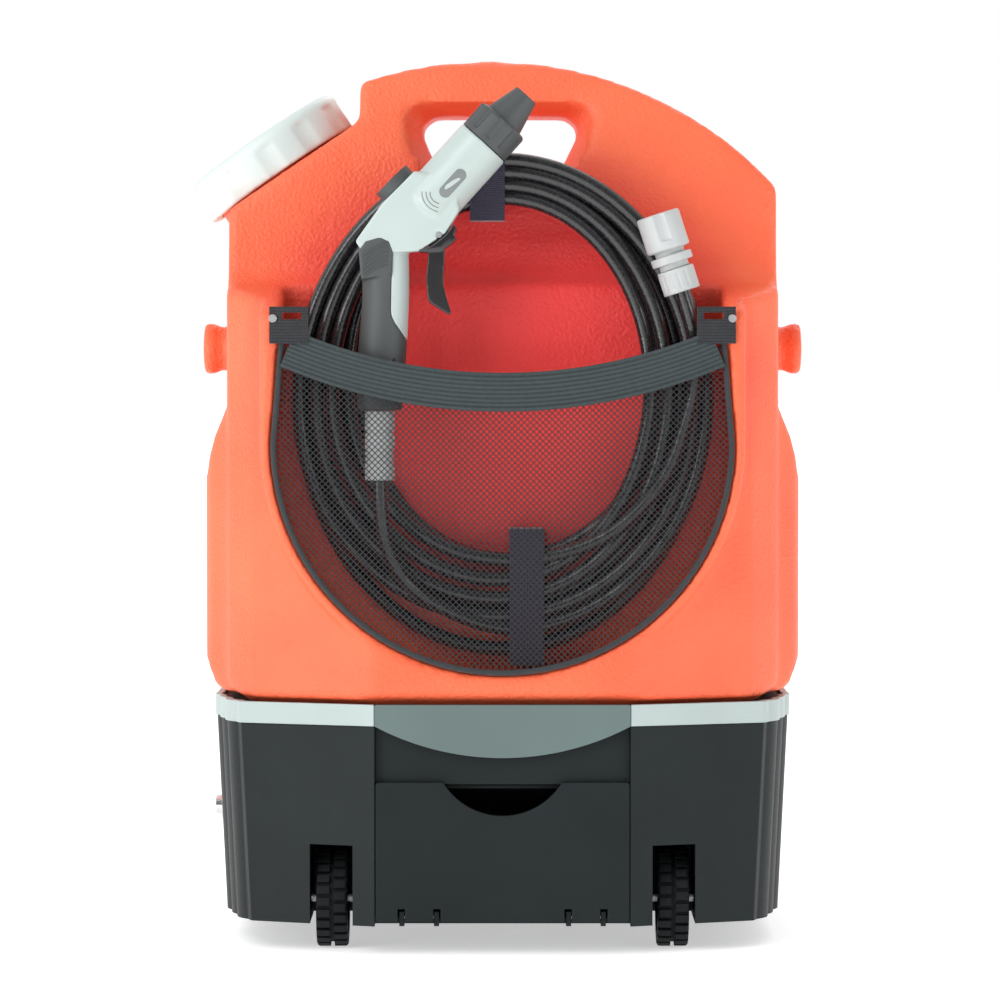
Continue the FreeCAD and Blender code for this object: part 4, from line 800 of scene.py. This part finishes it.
# %% [markdown]
# Small details sit on the gun's skin. A ray cast from the front finds the skin at each
# point, so a rib or an inlay follows the round barrel without any measuring by hand.

# %% Ribs, pads and inlay
for index in range(6):
    left, right = 418.5 - 2.7 * index, 426.0 - 2.6 * index
    spots = []
    for step in range(7):
        share = step / 6
        x = -83.6 + 15.0 * share
        height = left + (right - left) * share + 1.6 * math.sin(math.pi * share)
        spots.append(front_of(grip, x, height, 0.0001))
    rib(f"grip_rib_{index}", [s for s in spots if s], 0.00055, finishes["gun_dark"])

for index, (x, half) in enumerate(((-79.5, 2.6), (-72.6, 2.3), (-65.6, 2.4))):
    spot = front_of(grip, x, 352.5)
    bpy.ops.mesh.primitive_uv_sphere_add(segments=24, ring_count=12, radius=1.0)
    pad = newest(f"grip_pad_{index}")
    placed(pad, Matrix.Translation(spot + Vector((0, 0.0006, 0)))
           @ Matrix.Diagonal((half * MM, 0.0013, 0.0055, 1.0)))
    pad.data.materials.append(finishes["trigger_black"])
    bpy.ops.object.shade_smooth()
    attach(pad, "hose_set")

barrel_axis = Vector((0.671, 0.0, 0.7415))
barrel_side = Vector((0.7415, 0.0, -0.671))
inlay_middle = Vector((-29.7, 0.0, 461.5))
outline = []
for index in range(28):
    angle = 2 * math.pi * index / 28
    end = 6.6 if math.cos(angle) > 0 else -6.6
    spot = (inlay_middle + barrel_axis * (end + 3.7 * math.cos(angle))
            + barrel_side * (3.7 * math.sin(angle)))
    outline.append((spot.x, spot.z))
inlay = slab("barrel_inlay", outline, 0.0, 0.0006)
for vertex in inlay.data.vertices:
    skin = front_of(gun, vertex.co.x / MM, vertex.co.z / MM)
    vertex.co.y = skin.y - 0.00025 + vertex.co.y
shaped(inlay, "BEVEL", width=0.0002, segments=2, limit_method="ANGLE")
inlay.data.materials.append(finishes["gun_inlay"])
smooth(inlay, 50)
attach(inlay, "hose_set")

for index, radius in enumerate((6.6, 9.0, 11.4)):
    spots = []
    for step in range(9):
        angle = math.radians(176 + 84 * step / 8)
        spots.append(front_of(gun, -36.7 + radius * math.cos(angle),
                              455.9 + radius * math.sin(angle), 0.00002))
    rib(f"barrel_arc_{index}", [s for s in spots if s], 0.00028, finishes["gun_inlay"])

# %% Cheeks beside the trigger
cheek_line = [(-50.1, 421.8), (-42.0, 424.5), (-34.0, 431.0), (-29.2, 437.4), (-27.6, 434.4),
              (-29.2, 430.6), (-27.6, 429.0), (-30.0, 426.0), (-34.0, 423.2), (-36.0, 420.6),
              (-42.8, 420.2), (-49.0, 420.6)]
for name, low in (("trigger_cheek_front", GUN_MIDDLE - 0.0138),
                  ("trigger_cheek_back", GUN_MIDDLE + 0.0075)):
    cheek = slab(name, cheek_line, low, low + 0.0063)
    shaped(cheek, "BEVEL", width=0.0006, segments=3, limit_method="ANGLE")
    cheek.data.materials.append(finishes["trigger_black"])
    smooth(cheek, 45)
    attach(cheek, "hose_set")
print("gun dressed")

# %% Connector with softened edges
for node, name, body in (("connector_nut", "connector_grip_nut", "hose_set"),
                         ("connector_socket", "connector_body", "hose_set"),
                         ("connector_collar", "connector_ring", "collar"),
                         ("gun_hose_nut", "gun_hose_end", "hose_set")):
    piece = moulded(node, name, 0.0005, 3, body)
    piece.data.materials.clear()
    piece.data.materials.append(finishes["connector_grey"])

# %% [markdown]
# ## Floor and light
#
# The machine stands on a pale floor under soft studio light: a large panel from the upper
# left, two low ones at the sides that light the slanting facets, and a white surround that
# is dimmer on the viewer's side, so that the black front stays black.

# %% Studio
bpy.ops.mesh.primitive_plane_add(size=60.0, location=(0, 0, 0))
floor = newest("floor")
placed(floor)
finish, tree, shader, place = new_finish("floor_white")
tree.links.new(ramp(tree, noise(tree, place, 0.4, 2.0),
                    [(0.3, (0.90, 0.90, 0.90)), (0.7, (0.93, 0.93, 0.93))]),
               shader.inputs["Base Color"])
shader.inputs["Roughness"].default_value = 0.8
shader.inputs["Emission Color"].default_value = (1.0, 1.0, 1.0, 1.0)
shader.inputs["Emission Strength"].default_value = 0.48
floor.data.materials.append(finish)

world = bpy.data.worlds.new("white_room")
bpy.context.scene.world = world
world.use_nodes = True
room = world.node_tree
toward = room.nodes.new("ShaderNodeSeparateXYZ")
room.links.new(room.nodes.new("ShaderNodeTexCoord").outputs["Generated"], toward.inputs["Vector"])
dimmed = spread(room, toward.outputs["Y"], 0.22, 1.0, -0.75, 0.10)
room.links.new(dimmed, room.nodes["Background"].inputs["Strength"])
room.nodes["Background"].inputs["Color"].default_value = (1.0, 1.0, 1.0, 1.0)


def panel_light(name, place, aim, size, power):
    light = bpy.data.lights.new(name, "AREA")
    light.size = size
    light.energy = power
    lamp = bpy.data.objects.new(name, light)
    bpy.context.scene.collection.objects.link(lamp)
    lamp.location = place
    lamp.rotation_euler = (Vector(aim) - Vector(place)).to_track_quat("-Z", "Y").to_euler()


panel_light("key", (-1.3, -1.9, 1.9), (0, 0, 0.28), 1.4, 26)
panel_light("left_side", (-1.7, -1.5, 0.55), (0, 0, 0.25), 1.0, 15)
panel_light("right_side", (1.7, -1.5, 0.55), (0, 0, 0.25), 1.0, 9)
panel_light("back", (0.4, 1.6, 1.6), (0, 0, 0.35), 1.2, 8)
